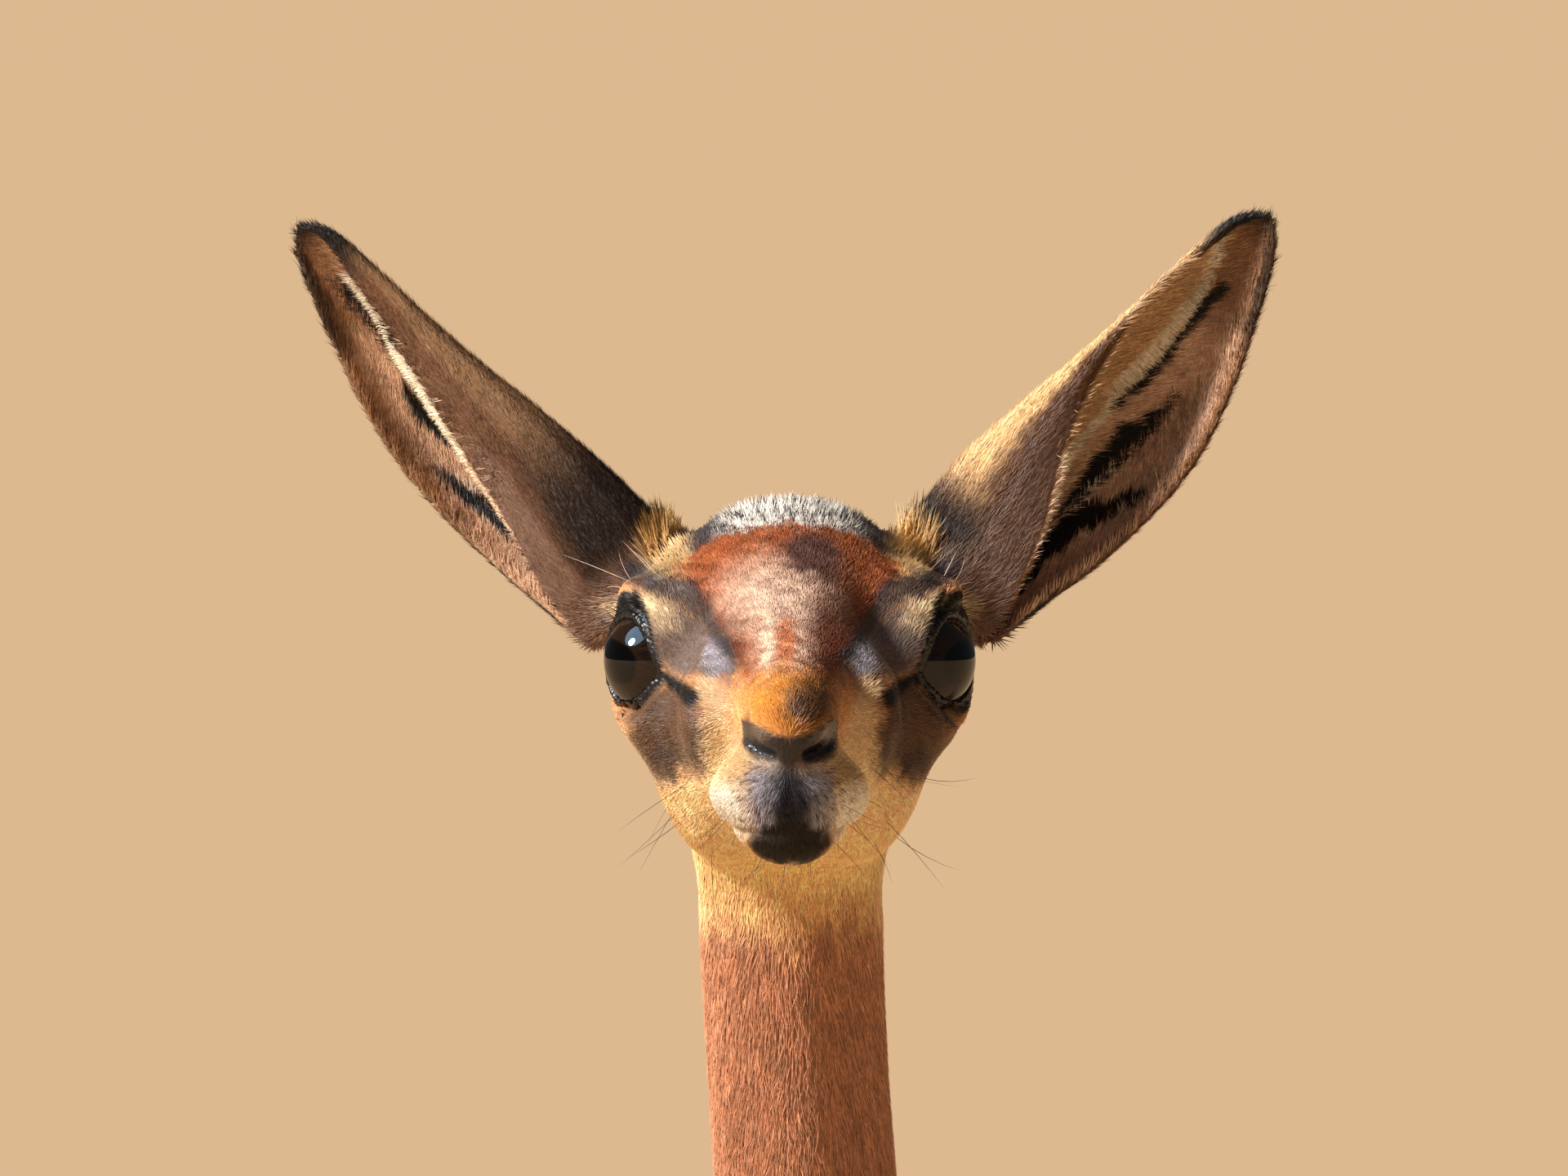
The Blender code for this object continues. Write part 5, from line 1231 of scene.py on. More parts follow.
def paint(points, normals, on_head):
    """Colour and bareness of the coat or skin at points."""
    straight = straightened(points)
    if not on_head:
        return body_paint(straight, normals), np.zeros(len(points))
    colour, bare = head_paint(straight)
    ear = ear_place(head_to_local(straight))
    share = smooth_step(ear[0], -0.002, 0.006) * (ear[4] < 0.006)
    colour = colour + (ear_paint(straight, ear) - colour) * share[:, None]
    low = smooth_step(-points[:, 2], -1.235, -1.205)
    colour += (body_paint(straight, normals) - colour) * low[:, None]
    return colour, bare


def atlas(points, normals, second, low, high):
    """A flat place for each point: six directions and two halves, each in its own field of the map."""
    axis = np.abs(normals).argmax(1)
    facing = normals[np.arange(len(points)), axis] > 0
    field = (axis * 2 + facing) * 2 + second
    share = (points - low) / (high - low)
    first = np.where(axis == 0, share[:, 1], share[:, 0])
    other = np.where(axis == 2, share[:, 1], share[:, 2])
    column, row = field % 4, field // 4
    return np.column_stack(((column + 0.03 + 0.93 * first) / 4, (row + 0.03 + 0.93 * other) / 3))


def colour_attribute(mesh, name, colours):
    layer = mesh.attributes.new(name, "FLOAT_COLOR", "POINT")
    full = np.ones((len(colours), 4), np.float32)
    full[:, :3] = np.clip(colours, 0.0, 1.0)
    layer.data.foreach_set("color", full.ravel())


def number_attribute(mesh, name, values):
    layer = mesh.attributes.new(name, "FLOAT", "POINT")
    layer.data.foreach_set("value", np.asarray(values, np.float32))


def tuft_mesh(name, verts, tris, uvs, colours):
    mesh = bpy.data.meshes.new(name)
    mesh.vertices.add(len(verts))
    mesh.vertices.foreach_set("co", verts.ravel().astype(np.float32))
    mesh.loops.add(len(tris) * 3)
    mesh.loops.foreach_set("vertex_index", tris.ravel().astype(np.int32))
    mesh.polygons.add(len(tris))
    mesh.polygons.foreach_set("loop_start", np.arange(0, len(tris) * 3, 3, dtype=np.int32))
    mesh.update(calc_edges=True)
    layer = mesh.uv_layers.new(name="OFBake")
    layer.uv.foreach_set("vector", uvs[tris.ravel()].ravel().astype(np.float32))
    colour_attribute(mesh, "coat", colours)
    mesh.validate()
    mesh.shade_flat()
    return mesh


def coat_piece(name, roots, normals, ways, sizes, colours, second, draw, look):
    """One piece of coat: each tuft a three-sided spike, rooted in the skin and lying along it."""
    count = len(roots)
    length, width, lift = sizes
    length = length * draw.uniform(0.7, 1.25, count)
    width = width * draw.uniform(0.75, 1.25, count)
    swing = draw.normal(0.0, TUFT_SWING, count) + CLUMP_SWING * speckle(roots, CLUMP_SIZE)
    side = np.cross(normals, ways)
    ways = ways * np.cos(swing)[:, None] + side * np.sin(swing)[:, None]
    side = np.cross(normals, ways)
    rise = lift * draw.uniform(0.4, 1.6, count)
    tip = roots + ways * length[:, None] + normals * (rise * length)[:, None]
    sunk = roots - normals * (0.35 * width)[:, None]
    left = sunk - side * (width / 2)[:, None]
    right = sunk + side * (width / 2)[:, None]
    ridge = roots + normals * (TUFT_RIDGE * width)[:, None] + ways * (0.22 * length)[:, None]
    verts = np.stack((left, right, ridge, tip), 1).reshape(-1, 3)
    base = np.arange(count)[:, None] * 4
    faces = (base[:, :, None] + np.array(((0, 3, 2), (2, 3, 1), (1, 3, 0)))[None]).reshape(-1, 3)
    place = atlas(roots, normals, second, roots.min(0), roots.max(0))
    corners = np.array(((0.0, 0.0), (1.0, 0.0), (0.5, 0.3), (0.5, 1.0))) * TUFT_PATCH
    uvs = (place[:, None, :] + corners[None]).reshape(-1, 2)
    tone = np.exp(draw.normal(0.0, TUFT_TONE, count) + CLUMP_TONE * speckle(roots, CLUMP_SIZE, 6.0))[:, None, None]
    # Each tuft is painted darker at the foot and lighter at the tip, as shade and light within the coat.
    painted_depth = np.array(TUFT_PAINTED_DEPTH)[None, :, None]
    shades = (colours[:, None, :] * tone * painted_depth).reshape(-1, 3)
    mesh = tuft_mesh(name, verts, faces, uvs, shades)
    piece = bpy.data.objects.new(name, mesh)
    bpy.context.scene.collection.objects.link(piece)
    mesh.materials.append(look)
    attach(piece, "root")
    return piece


def lock_piece(name, roots, normals, ways, lengths, widths, curls, colours, second, draw, look, rings=5):
    """Long hair: each lock a bending, tapering three-sided strand."""
    count = len(roots)
    side = np.cross(normals, ways)
    shares = np.linspace(0.0, 1.0, rings + 1)
    wander = draw.normal(0.0, 0.10, (count, 2))
    verts, shades, patch = [], [], []
    place = atlas(roots, normals, second, roots.min(0), roots.max(0))
    tone = np.exp(draw.normal(0.0, TUFT_TONE, count))[:, None]
    for share in shares:
        out = lengths * (share * curls[:, 0] + share**2 * curls[:, 1])
        drift = lengths * share**2 * wander[:, 0]
        middle = roots + ways * (lengths * share)[:, None] + normals * out[:, None] + side * drift[:, None]
        wide = widths / 2 * (1.0 - share**1.7) ** 0.8 * (1.0 if share else 0.8)
        corners = [(0.0, 0.0, 0.0)] if share == 1.0 else [(-1.0, 0.0, -0.3), (1.0, 0.0, -0.3), (0.0, 0.0, 0.6)]
        for k, (aside, _, above) in enumerate(corners):
            verts.append(middle + side * (aside * wide)[:, None] + normals * (above * wide)[:, None])
            # Each lock is painted darker at the root and lighter towards the tip, as shade and light within the coat.
            shades.append(colours * tone * (0.65 + 0.55 * share))
            patch.append(place + np.array((0.5 + 0.5 * aside, share)) * TUFT_PATCH)
    per = 3 * rings + 1
    order = lambda stack: np.stack(stack, 1).reshape(count * per, -1)
    tris = []
    for ring in range(rings):
        a = 3 * ring
        for k in range(3):
            here, there = a + k, a + (k + 1) % 3
            if ring == rings - 1:
                tris.append((here, there, 3 * rings))
            else:
                tris += [(here, there, there + 3), (here, there + 3, here + 3)]
    base = np.arange(count)[:, None, None] * per
    faces = (base + np.array(tris)[None]).reshape(-1, 3)
    mesh = tuft_mesh(name, order(verts), faces, order(patch), order(shades))
    mesh.shade_smooth()
    piece = bpy.data.objects.new(name, mesh)
    bpy.context.scene.collection.objects.link(piece)
    mesh.materials.append(look)
    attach(piece, "root")
    return piece


def scattered(vertices, normals, triangles, weights, count, draw):
    """Points spread over triangles, more where the weight of their corners is higher."""
    corners = vertices[triangles]
    area = np.linalg.norm(np.cross(corners[:, 1] - corners[:, 0], corners[:, 2] - corners[:, 0]), axis=1)
    chance = area * weights[triangles].mean(1)
    total = np.cumsum(chance)
    picked = np.searchsorted(total, (np.arange(count) + draw.uniform(0, 1, count)) / count * total[-1])
    picked = np.minimum(picked, len(triangles) - 1)
    one, two = np.sqrt(draw.uniform(0, 1, count)), draw.uniform(0, 1, count)
    mix = np.column_stack((1 - one, one * (1 - two), one * two))[:, :, None]
    places = (corners[picked] * mix).sum(1)
    facing = (normals[triangles[picked]] * mix).sum(1)
    facing /= np.maximum(np.linalg.norm(facing, axis=1), 1e-9)[:, None]
    return places, facing


def nodes_of(made):
    made.use_nodes = True
    return made.node_tree.nodes, made.node_tree.links, made.node_tree.nodes["Principled BSDF"]


def noise(nodes, links, scale, detail, vector=None):
    texture = nodes.new("ShaderNodeTexNoise")
    texture.inputs["Scale"].default_value = scale
    texture.inputs["Detail"].default_value = detail
    if vector is not None:
        links.new(vector, texture.inputs["Vector"])
    return texture


def multiplied(nodes, links, colour, factor):
    """A colour socket times a number socket."""
    mixed = nodes.new("ShaderNodeVectorMath")
    mixed.operation = "SCALE"
    links.new(colour, mixed.inputs[0])
    links.new(factor, mixed.inputs["Scale"])
    return mixed.outputs[0]


def ranged(nodes, links, value, low, high, to_low, to_high):
    mapped = nodes.new("ShaderNodeMapRange")
    for name, number in (("From Min", low), ("From Max", high), ("To Min", to_low), ("To Max", to_high)):
        mapped.inputs[name].default_value = number
    links.new(value, mapped.inputs["Value"])
    return mapped.outputs["Result"]


def coat_look():
    """Hair: its own colour, uneven from hair to hair, with a soft shine."""
    made = bpy.data.materials.new("hair")
    nodes, links, shader = nodes_of(made)
    place = nodes.new("ShaderNodeTexCoord").outputs["Object"]
    colour = nodes.new("ShaderNodeVertexColor")
    colour.layer_name = "coat"
    fine = noise(nodes, links, 700.0, 2.0, place)
    shade = ranged(nodes, links, fine.outputs["Fac"], 0.3, 0.7, 0.82, 1.18)
    links.new(multiplied(nodes, links, colour.outputs["Color"], shade), shader.inputs["Base Color"])
    rough = ranged(nodes, links, fine.outputs["Fac"], 0.3, 0.7, 0.40, 0.58)
    links.new(rough, shader.inputs["Roughness"])
    shader.inputs["Specular IOR Level"].default_value = HAIR_SHINE
    return made


def skin_look():
    """Skin: markings under the coat with fine hair relief, and pebbled dark leather where it is bare."""
    made = bpy.data.materials.new("skin")
    nodes, links, shader = nodes_of(made)
    place = nodes.new("ShaderNodeTexCoord").outputs["Object"]
    colour = nodes.new("ShaderNodeVertexColor")
    colour.layer_name = "coat"
    bare = nodes.new("ShaderNodeAttribute")
    bare.attribute_name = "bare"
    fine = noise(nodes, links, 900.0, 3.0, place)
    shade = ranged(nodes, links, fine.outputs["Fac"], 0.3, 0.7, 0.72, 1.15)
    links.new(multiplied(nodes, links, colour.outputs["Color"], shade), shader.inputs["Base Color"])
    rough = ranged(nodes, links, bare.outputs["Fac"], 0.0, 1.0, 0.78, 0.36)
    links.new(rough, shader.inputs["Roughness"])
    pebble = nodes.new("ShaderNodeTexVoronoi")
    pebble.inputs["Scale"].default_value = 850.0
    links.new(place, pebble.inputs["Vector"])
    relief = nodes.new("ShaderNodeMix")
    links.new(bare.outputs["Fac"], relief.inputs["Factor"])
    links.new(fine.outputs["Fac"], relief.inputs["A"])
    links.new(pebble.outputs["Distance"], relief.inputs["B"])
    bump = nodes.new("ShaderNodeBump")
    bump.inputs["Strength"].default_value = 0.5
    bump.inputs["Distance"].default_value = 0.0006
    links.new(relief.outputs["Result"], bump.inputs["Height"])
    links.new(bump.outputs["Normal"], shader.inputs["Normal"])
    return made


def eye_look():
    """Wet eye: long dark pupil, deep brown streaked iris, black edge."""
    made = bpy.data.materials.new("eye")
    nodes, links, shader = nodes_of(made)
    gaze = nodes.new("ShaderNodeAttribute")
    gaze.attribute_name = "gaze"
    parts = nodes.new("ShaderNodeSeparateXYZ")
    links.new(gaze.outputs["Vector"], parts.inputs["Vector"])

    def math_node(operation, one, two=None, number=None):
        node = nodes.new("ShaderNodeMath")
        node.operation = operation
        links.new(one, node.inputs[0])
        if two is not None:
            links.new(two, node.inputs[1])
        elif number is not None:
            node.inputs[1].default_value = number
        return node.outputs[0]

    wide = math_node("DIVIDE", parts.outputs["X"], number=PUPIL_HALF_LENGTH)
    tall = math_node("DIVIDE", parts.outputs["Y"], number=PUPIL_HALF_HEIGHT)
    oval = math_node("ADD", math_node("POWER", math_node("ABSOLUTE", wide), number=2.6),
                     math_node("POWER", math_node("ABSOLUTE", tall), number=2.6))
    square = math_node("ADD", math_node("POWER", math_node("ABSOLUTE", parts.outputs["X"]), number=2.0),
                       math_node("POWER", math_node("ABSOLUTE", parts.outputs["Y"]), number=2.0))
    radius = math_node("SQRT", square)
    angle = math_node("ARCTAN2", parts.outputs["Y"], parts.outputs["X"])
    polar = nodes.new("ShaderNodeCombineXYZ")
    links.new(math_node("MULTIPLY", angle, number=14.0), polar.inputs["X"])
    links.new(math_node("MULTIPLY", radius, number=2.5), polar.inputs["Y"])
    streaks = noise(nodes, links, 1.6, 3.0, polar.outputs["Vector"])
    iris = nodes.new("ShaderNodeValToRGB")
    iris.color_ramp.elements[0].position, iris.color_ramp.elements[1].position = 0.35, 0.68
    iris.color_ramp.elements[0].color = (0.006, 0.0032, 0.0022, 1.0)
    iris.color_ramp.elements[1].color = (0.026, 0.012, 0.006, 1.0)
    links.new(streaks.outputs["Fac"], iris.inputs["Fac"])
    within = ranged(nodes, links, oval, 0.85, 1.15, 0.04, 1.0)
    edge = ranged(nodes, links, radius, IRIS_EDGE - 0.08, IRIS_EDGE + 0.03, 1.0, 0.10)
    both = math_node("MULTIPLY", within, edge)
    links.new(multiplied(nodes, links, iris.outputs["Color"], both), shader.inputs["Base Color"])
    shader.inputs["Roughness"].default_value = 0.03
    shader.inputs["IOR"].default_value = 1.45
    return made


def horn_look():
    """Hoof: black-brown mottled horn with fine rings of growth."""
    made = bpy.data.materials.new("hoof horn")
    nodes, links, shader = nodes_of(made)
    place = nodes.new("ShaderNodeTexCoord").outputs["Object"]
    wave = nodes.new("ShaderNodeTexWave")
    wave.bands_direction = "Z"
    wave.inputs["Scale"].default_value = 120.0
    wave.inputs["Distortion"].default_value = 2.0
    wave.inputs["Detail"].default_value = 2.0
    links.new(place, wave.inputs["Vector"])
    mottled = noise(nodes, links, 180.0, 4.0, place)
    ramp = nodes.new("ShaderNodeValToRGB")
    ramp.color_ramp.elements[0].position, ramp.color_ramp.elements[1].position = 0.30, 0.75
    ramp.color_ramp.elements[0].color = (0.012, 0.009, 0.008, 1.0)
    ramp.color_ramp.elements[1].color = (0.060, 0.045, 0.035, 1.0)
    links.new(mottled.outputs["Fac"], ramp.inputs["Fac"])
    links.new(ramp.outputs["Color"], shader.inputs["Base Color"])
    links.new(ranged(nodes, links, mottled.outputs["Fac"], 0.3, 0.7, 0.32, 0.58), shader.inputs["Roughness"])
    bump = nodes.new("ShaderNodeBump")
    bump.inputs["Strength"].default_value = 0.35
    bump.inputs["Distance"].default_value = 0.0004
    links.new(wave.outputs["Fac"], bump.inputs["Height"])
    links.new(bump.outputs["Normal"], shader.inputs["Normal"])
    return made


def eye_piece(side_name, flip, shift, look):
    """An eyeball with a bulging front, its pupil lying along the lids."""
    bm = bmesh.new()
    bmesh.ops.create_uvsphere(bm, u_segments=64, v_segments=40, radius=1.0)
    mesh = bpy.data.meshes.new("eyeball_" + side_name)
    bm.to_mesh(mesh)
    bm.free()
    outward, along, up = eye_frame()
    axes = np.array((along, up, outward))
    axes[:, 0] *= flip
    axes = axes * (1.0, -1.0, 1.0)
    own = np.empty(len(mesh.vertices) * 3, np.float32)
    mesh.vertices.foreach_get("co", own)
    own = own.reshape(-1, 3).astype(float)
    bulge = CORNEA_BULGE * np.clip((own[:, 2] - 0.62) / 0.38, 0.0, 1.0) ** 1.3
    place = (own * (EYE_RADIUS - GAP_TO_LIDS + bulge)[:, None]) @ axes
    centre = np.array((flip * EYE_CENTRE[0] + HEAD_LEAN, -EYE_FORWARD - EYE_CENTRE[1], EYE_HEIGHT + EYE_CENTRE[2]))
    mesh.vertices.foreach_set("co", (place + centre + shift).ravel().astype(np.float32))
    layer = mesh.attributes.new("gaze", "FLOAT_VECTOR", "POINT")
    layer.data.foreach_set("vector", own.ravel().astype(np.float32))
    if np.linalg.det(axes) < 0:
        mesh.flip_normals()
    mesh.shade_smooth()
    mesh.update()
    piece = bpy.data.objects.new("eyeball_" + side_name, mesh)
    bpy.context.scene.collection.objects.link(piece)
    mesh.materials.append(look)
    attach(piece, "root")
    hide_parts("eye_" + side_name)
    return piece


def closed_outline(points, steps):
    """A smooth closed line through points."""
    points = np.asarray(points, float)
    made = []
    for i in range(len(points)):
        before, start, end, after = (points[(i + k) % len(points)] for k in (-1, 0, 1, 2))
        for t in np.arange(steps) / steps:
            bend = (2 * before - 5 * start + 4 * end - after) * t + (3 * start - before - 3 * end + after) * t * t
            made.append(0.5 * (2 * start + (end - before) * t + bend * t))
    return np.array(made)


def hoof_piece(foot, flip, claw_name, side, shift, look):
    """One claw of horn, from its sole to the coronet, its wall slightly bowed."""
    legs = foot.split("_")[0]
    middle_y = FOOT_Y[legs] + STRIDE[foot]
    outline = closed_outline(CLAW, 5)
    middle = outline.mean(0)
    outline = middle + (outline - middle) * CLAW_FIT
    rings = []
    for share in np.linspace(0.0, 1.0, HOOF_RINGS):
        bowed = 1.0 + 0.035 * math.sin(math.pi * share) - 0.03 * (1.0 - share) ** 6
        scale = (1.0 + (CLAW_TOP_SCALE - 1.0) * share) * bowed
        out = np.maximum(outline[:, 0] * scale, 0.0) + CLEFT
        ahead = outline[:, 1] * scale + CLAW_TOP_SHIFT * share
        top = CORONET_HEIGHT + CORONET_SLOPE * ahead
        rings.append(np.column_stack((flip * FOOT_X + side * out, middle_y - ahead, top * share)))
    dome = rings[-1] * (1, 1, 1)
    inner = dome.mean(0) + (dome - dome.mean(0)) * 0.6 + (0.0, 0.0, 0.0012)
    verts = np.vstack(rings + [inner]) + shift
    count = len(outline)
    faces = []
    for ring in range(HOOF_RINGS):
        for i in range(count):
            after = (i + 1) % count
            faces.append((ring * count + i, ring * count + after, (ring + 1) * count + after, (ring + 1) * count + i))
    faces.append(tuple(range(count))[::-1])
    faces.append(tuple(HOOF_RINGS * count + i for i in range(count)))
    name = f"claw_{foot}_{claw_name}"
    mesh = bpy.data.meshes.new(name)
    mesh.from_pydata(verts.tolist(), [], faces)
    bm = bmesh.new()
    bm.from_mesh(mesh)
    bmesh.ops.recalc_face_normals(bm, faces=bm.faces)
    bm.to_mesh(mesh)
    bm.free()
    mesh.shade_smooth()
    mesh.set_sharp_from_angle(angle=math.radians(45))
    piece = bpy.data.objects.new(name, mesh)
    bpy.context.scene.collection.objects.link(piece)
    mesh.materials.append(look)
    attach(piece, "root")
    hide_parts(f"hoof_{foot}_{claw_name}")


def dewclaws(foot, flip, shift, look):
    """The two small claws behind a fetlock."""
    legs = foot.split("_")[0]
    bm = bmesh.new()
    behind, height = DEWCLAW_AT[legs]
    for aside in (-1, 1):
        place = Matrix.Translation((flip * FOOT_X + aside * 0.0075, behind + STRIDE[foot], height))
        tilt = Matrix.Rotation(math.radians(-24), 4, "X")
        shape = Matrix.Diagonal((0.0042, 0.0038, 0.0078, 1.0))
        bmesh.ops.create_uvsphere(bm, u_segments=20, v_segments=14, radius=1.0, matrix=place @ tilt @ shape)
    mesh = bpy.data.meshes.new("dewclaws_" + foot)
    bmesh.ops.translate(bm, verts=bm.verts, vec=Vector(shift))
    bm.to_mesh(mesh)
    bm.free()
    mesh.shade_smooth()
    piece = bpy.data.objects.new("dewclaws_" + foot, mesh)
    bpy.context.scene.collection.objects.link(piece)
    mesh.materials.append(look)
    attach(piece, "root")


def coat_regions(straight, ear):
    """For each skin vertex its region's name."""
    local = head_to_local(straight)
    ahead, up = local[:, 1], local[:, 2]
    x, y, z = straight.T
    region = np.full(len(x), "", dtype="U16")
    head = (z > 1.285) | ((z > 1.255) & (ahead > -0.045))
    on_ear = (ear[0] > 0.004) & (ear[4] < 0.006) & (z > 1.33)
    region[head & (ahead > 0.040)] = "muzzle"
    region[head & (ahead <= 0.040) & (ahead > -0.012)] = "face"
    region[head & (ahead <= -0.012)] = "crown"
    region[~head & (z > JOIN_HEIGHT)] = "neck_upper"
    region[~head & (z <= JOIN_HEIGHT) & (z > 0.88)] = "neck_lower"
    trunk = (z <= 0.88) & (z > 0.56)
    region[trunk & (x > 0)] = "trunk_left"
    region[trunk & (x <= 0)] = "trunk_right"
    region[(z <= 0.56) & (y < 0.10)] = "forelegs"
    region[(z <= 0.56) & (y >= 0.10)] = "hindlegs"
    region[(y > 0.520) & (z > 0.56)] = "tail"
    region[on_ear & (x > 0)] = "ear_left"
    region[on_ear & (x <= 0)] = "ear_right"
    return region


def tuft_sizes(region, straight, ear):
    """Length, width and lift of the tufts at roots in a region."""
    local = mirrored(head_to_local(straight))
    across, ahead, up = local.T
    z = straight[:, 2]
    length, width, lift = (np.full(len(z), value) for value in COAT[region][1:])
    if region in ("face", "crown"):
        from_eye = np.linalg.norm(local - np.array(EYE_CENTRE), axis=1)
        length *= 0.55 + 0.45 * smooth_step(from_eye, 0.019, 0.030)
        fluff = spot(across, up - SEEN_DROP * ahead, EAR_FLUFF.centre, EAR_FLUFF.radii, EAR_FLUFF.soft)
        cap = smooth_step(up, 0.034, 0.040) * (1.0 - smooth_step(across, 0.020, 0.032))
        length *= 1.0 + 0.9 * fluff + 0.2 * cap
        lift += 0.30 * fluff + 0.22 * cap
    if region == "muzzle":
        length *= 1.0 + 0.5 * smooth_step(-ahead, -0.08, -0.04)
    if region.endswith("legs"):
        length *= 0.55 + 0.45 * smooth_step(z, 0.05, 0.45)
        width *= 0.65 + 0.35 * smooth_step(z, 0.05, 0.45)
    if region.startswith("trunk"):
        length *= 0.75 + 0.25 * smooth_step(z, 0.60, 0.70)
    if region.startswith("ear"):
        _, _, place, inner, _ = ear
        ridge = smooth_step(place, 0.30, 0.38) * (1.0 - smooth_step(place, 0.50, 0.60)) * ~inner
        margin = smooth_step(place, 0.90, 0.97)
        length *= 1.0 + 0.35 * inner + 0.15 * ridge + 0.15 * margin
        lift += 0.12 * ridge + 0.08 * margin
    return length, width, lift


def build_coat(skin, shift, hair):
    mesh = skin.data
    count = len(mesh.vertices)
    places = np.empty(count * 3, np.float32)
    mesh.vertices.foreach_get("co", places)
    places = places.reshape(-1, 3).astype(float) - shift
    normals = np.empty(count * 3, np.float32)
    mesh.vertex_normals.foreach_get("vector", normals)
    normals = normals.reshape(-1, 3).astype(float)
    mesh.calc_loop_triangles()
    triangles = np.empty(len(mesh.loop_triangles) * 3, np.int32)
    mesh.loop_triangles.foreach_get("vertices", triangles)
    triangles = triangles.reshape(-1, 3)
    straight = straightened(places)
    upper = places[:, 2] > PAINT_CHANGE
    ear = ear_place(head_to_local(straight))
    colours = np.zeros((count, 3))
    bare = np.zeros(count)
    colours[upper], bare[upper] = paint(places[upper], normals[upper], True)
    colours[~upper], _ = paint(places[~upper], normals[~upper], False)
    colour_attribute(mesh, "coat", colours * SKIN_SHADE)
    number_attribute(mesh, "bare", bare)
    region = coat_regions(straight, ear)
    opening = np.full(count, FAR)
    opening[upper] = lid_opening(mirrored(head_to_local(straight[upper])))
    weights = np.clip(1.0 - 1.3 * bare, 0.0, 1.0) * (opening > 0.0006)
    weights *= coronet_height(straight) > 0.0
    owner = region[triangles[:, 0]]
    for number, name in enumerate(COAT):
        some = triangles[owner == name]
        draw = np.random.default_rng(SEED + number)
        roots, facing = scattered(places, normals, some, weights, COAT[name][0], draw)
        flat = straightened(roots)
        near_ear = ear_place(head_to_local(flat)) if roots[:, 2].max() > PAINT_CHANGE else None
        ways = lie_of(roots, facing, near_ear)
        on_head = roots[:, 2] > PAINT_CHANGE
        tints = np.zeros((len(roots), 3))
        if on_head.any():
            tints[on_head] = paint(roots[on_head], facing[on_head], True)[0]
        if (~on_head).any():
            tints[~on_head] = paint(roots[~on_head], facing[~on_head], False)[0]
        sizes = tuft_sizes(name, flat, near_ear)
        second = near_ear[3] if name.startswith("ear") else roots[:, 0] > 0
        piece = coat_piece("coat_" + name, roots + shift, facing, ways, sizes, tints, second, draw, hair)
    return places, normals


def ear_fringe(shift, hair, draw):
    """Long pale hair along the front edge of each cup, lying across its stripes."""
    along, across, forward = ear_frame()
    roots, facing, ways, lengths, colours = [], [], [], [], []
    for flip, side_name in ((1, "left"), (-1, "right")):
        stations = draw.uniform(0.004, 0.114, FRINGE_HAIRS)
        line_wide, line_deep = ear_section(stations, EAR_CLOSED[side_name])
        at = draw.uniform(0.0, 1.0, FRINGE_HAIRS)
        wide = line_wide[0] * (1 - at * 0.25) + line_wide[1] * at * 0.25
        deep = line_deep[0] * (1 - at * 0.25) + line_deep[1] * at * 0.25
        if flip > 0:
            over = np.interp(stations, *np.array(EAR_ROLL_OVER).T) * draw.uniform(0.8, 1.05, FRINGE_HAIRS)
            nearest = np.argmax(line_wide[0] - line_wide >= over, axis=0)
            each = np.arange(FRINGE_HAIRS)
            inside = over > 0.0004
            wide = np.where(inside, line_wide[nearest, each], wide)
            deep = np.where(inside, line_deep[nearest, each] + EAR_HALF_THICKNESS - 0.0006, deep)
        turn, drop = math.radians(EAR_TURN_DEG[side_name]), math.radians(EAR_DROP_DEG[side_name])

        def placed(wide, deep, reach):
            own_wide = wide * math.cos(turn) + deep * math.sin(turn)
            own_deep = deep * math.cos(turn) - wide * math.sin(turn)
            spot_at = own_wide[:, None] * across + own_deep[:, None] * forward + reach[:, None] * along
            out, up = spot_at[:, 0].copy(), spot_at[:, 2].copy()
            spot_at[:, 0] = out * math.cos(drop) + up * math.sin(drop)
            spot_at[:, 2] = up * math.cos(drop) - out * math.sin(drop)
            return spot_at * (flip, -1.0, 1.0)

        root = placed(wide, deep, stations)
        base = np.array((flip * EAR_ROOT[0] + HEAD_LEAN, -EYE_FORWARD - EAR_ROOT[1], EYE_HEIGHT + EAR_ROOT[2]))
        roots.append(root + base)
        zero = np.zeros(FRINGE_HAIRS)
        one = zero + 1.0
        lean = draw.normal(0.30, 0.16, FRINGE_HAIRS)
        way = placed(-one, zero - 0.28, lean)
        ways.append(way / np.linalg.norm(way, axis=1)[:, None])
        facing.append(placed(zero, one, zero))
        size = np.interp(stations, *np.array(FRINGE_LENGTHS).T)
        lengths.append(size * draw.uniform(0.6, 1.2, FRINGE_HAIRS))
        colours.append(np.tile(TINTS["ear cream"], (FRINGE_HAIRS, 1)) * (1 - 0.35 * smooth_step(stations, 0.09, 0.106))[:, None])
    roots, facing, ways = np.vstack(roots), np.vstack(facing), np.vstack(ways)
    facing -= ways * (facing * ways).sum(1)[:, None]
    facing /= np.linalg.norm(facing, axis=1)[:, None]
    count = len(roots)
    curls = np.column_stack((np.full(count, 0.10), np.full(count, -0.22)))
    piece = lock_piece(
        "ear_fringe", roots + shift, facing, ways, np.concatenate(lengths), np.full(count, 0.00042), curls,
        np.vstack(colours), roots[:, 0] > 0, draw, hair, rings=3,
    )


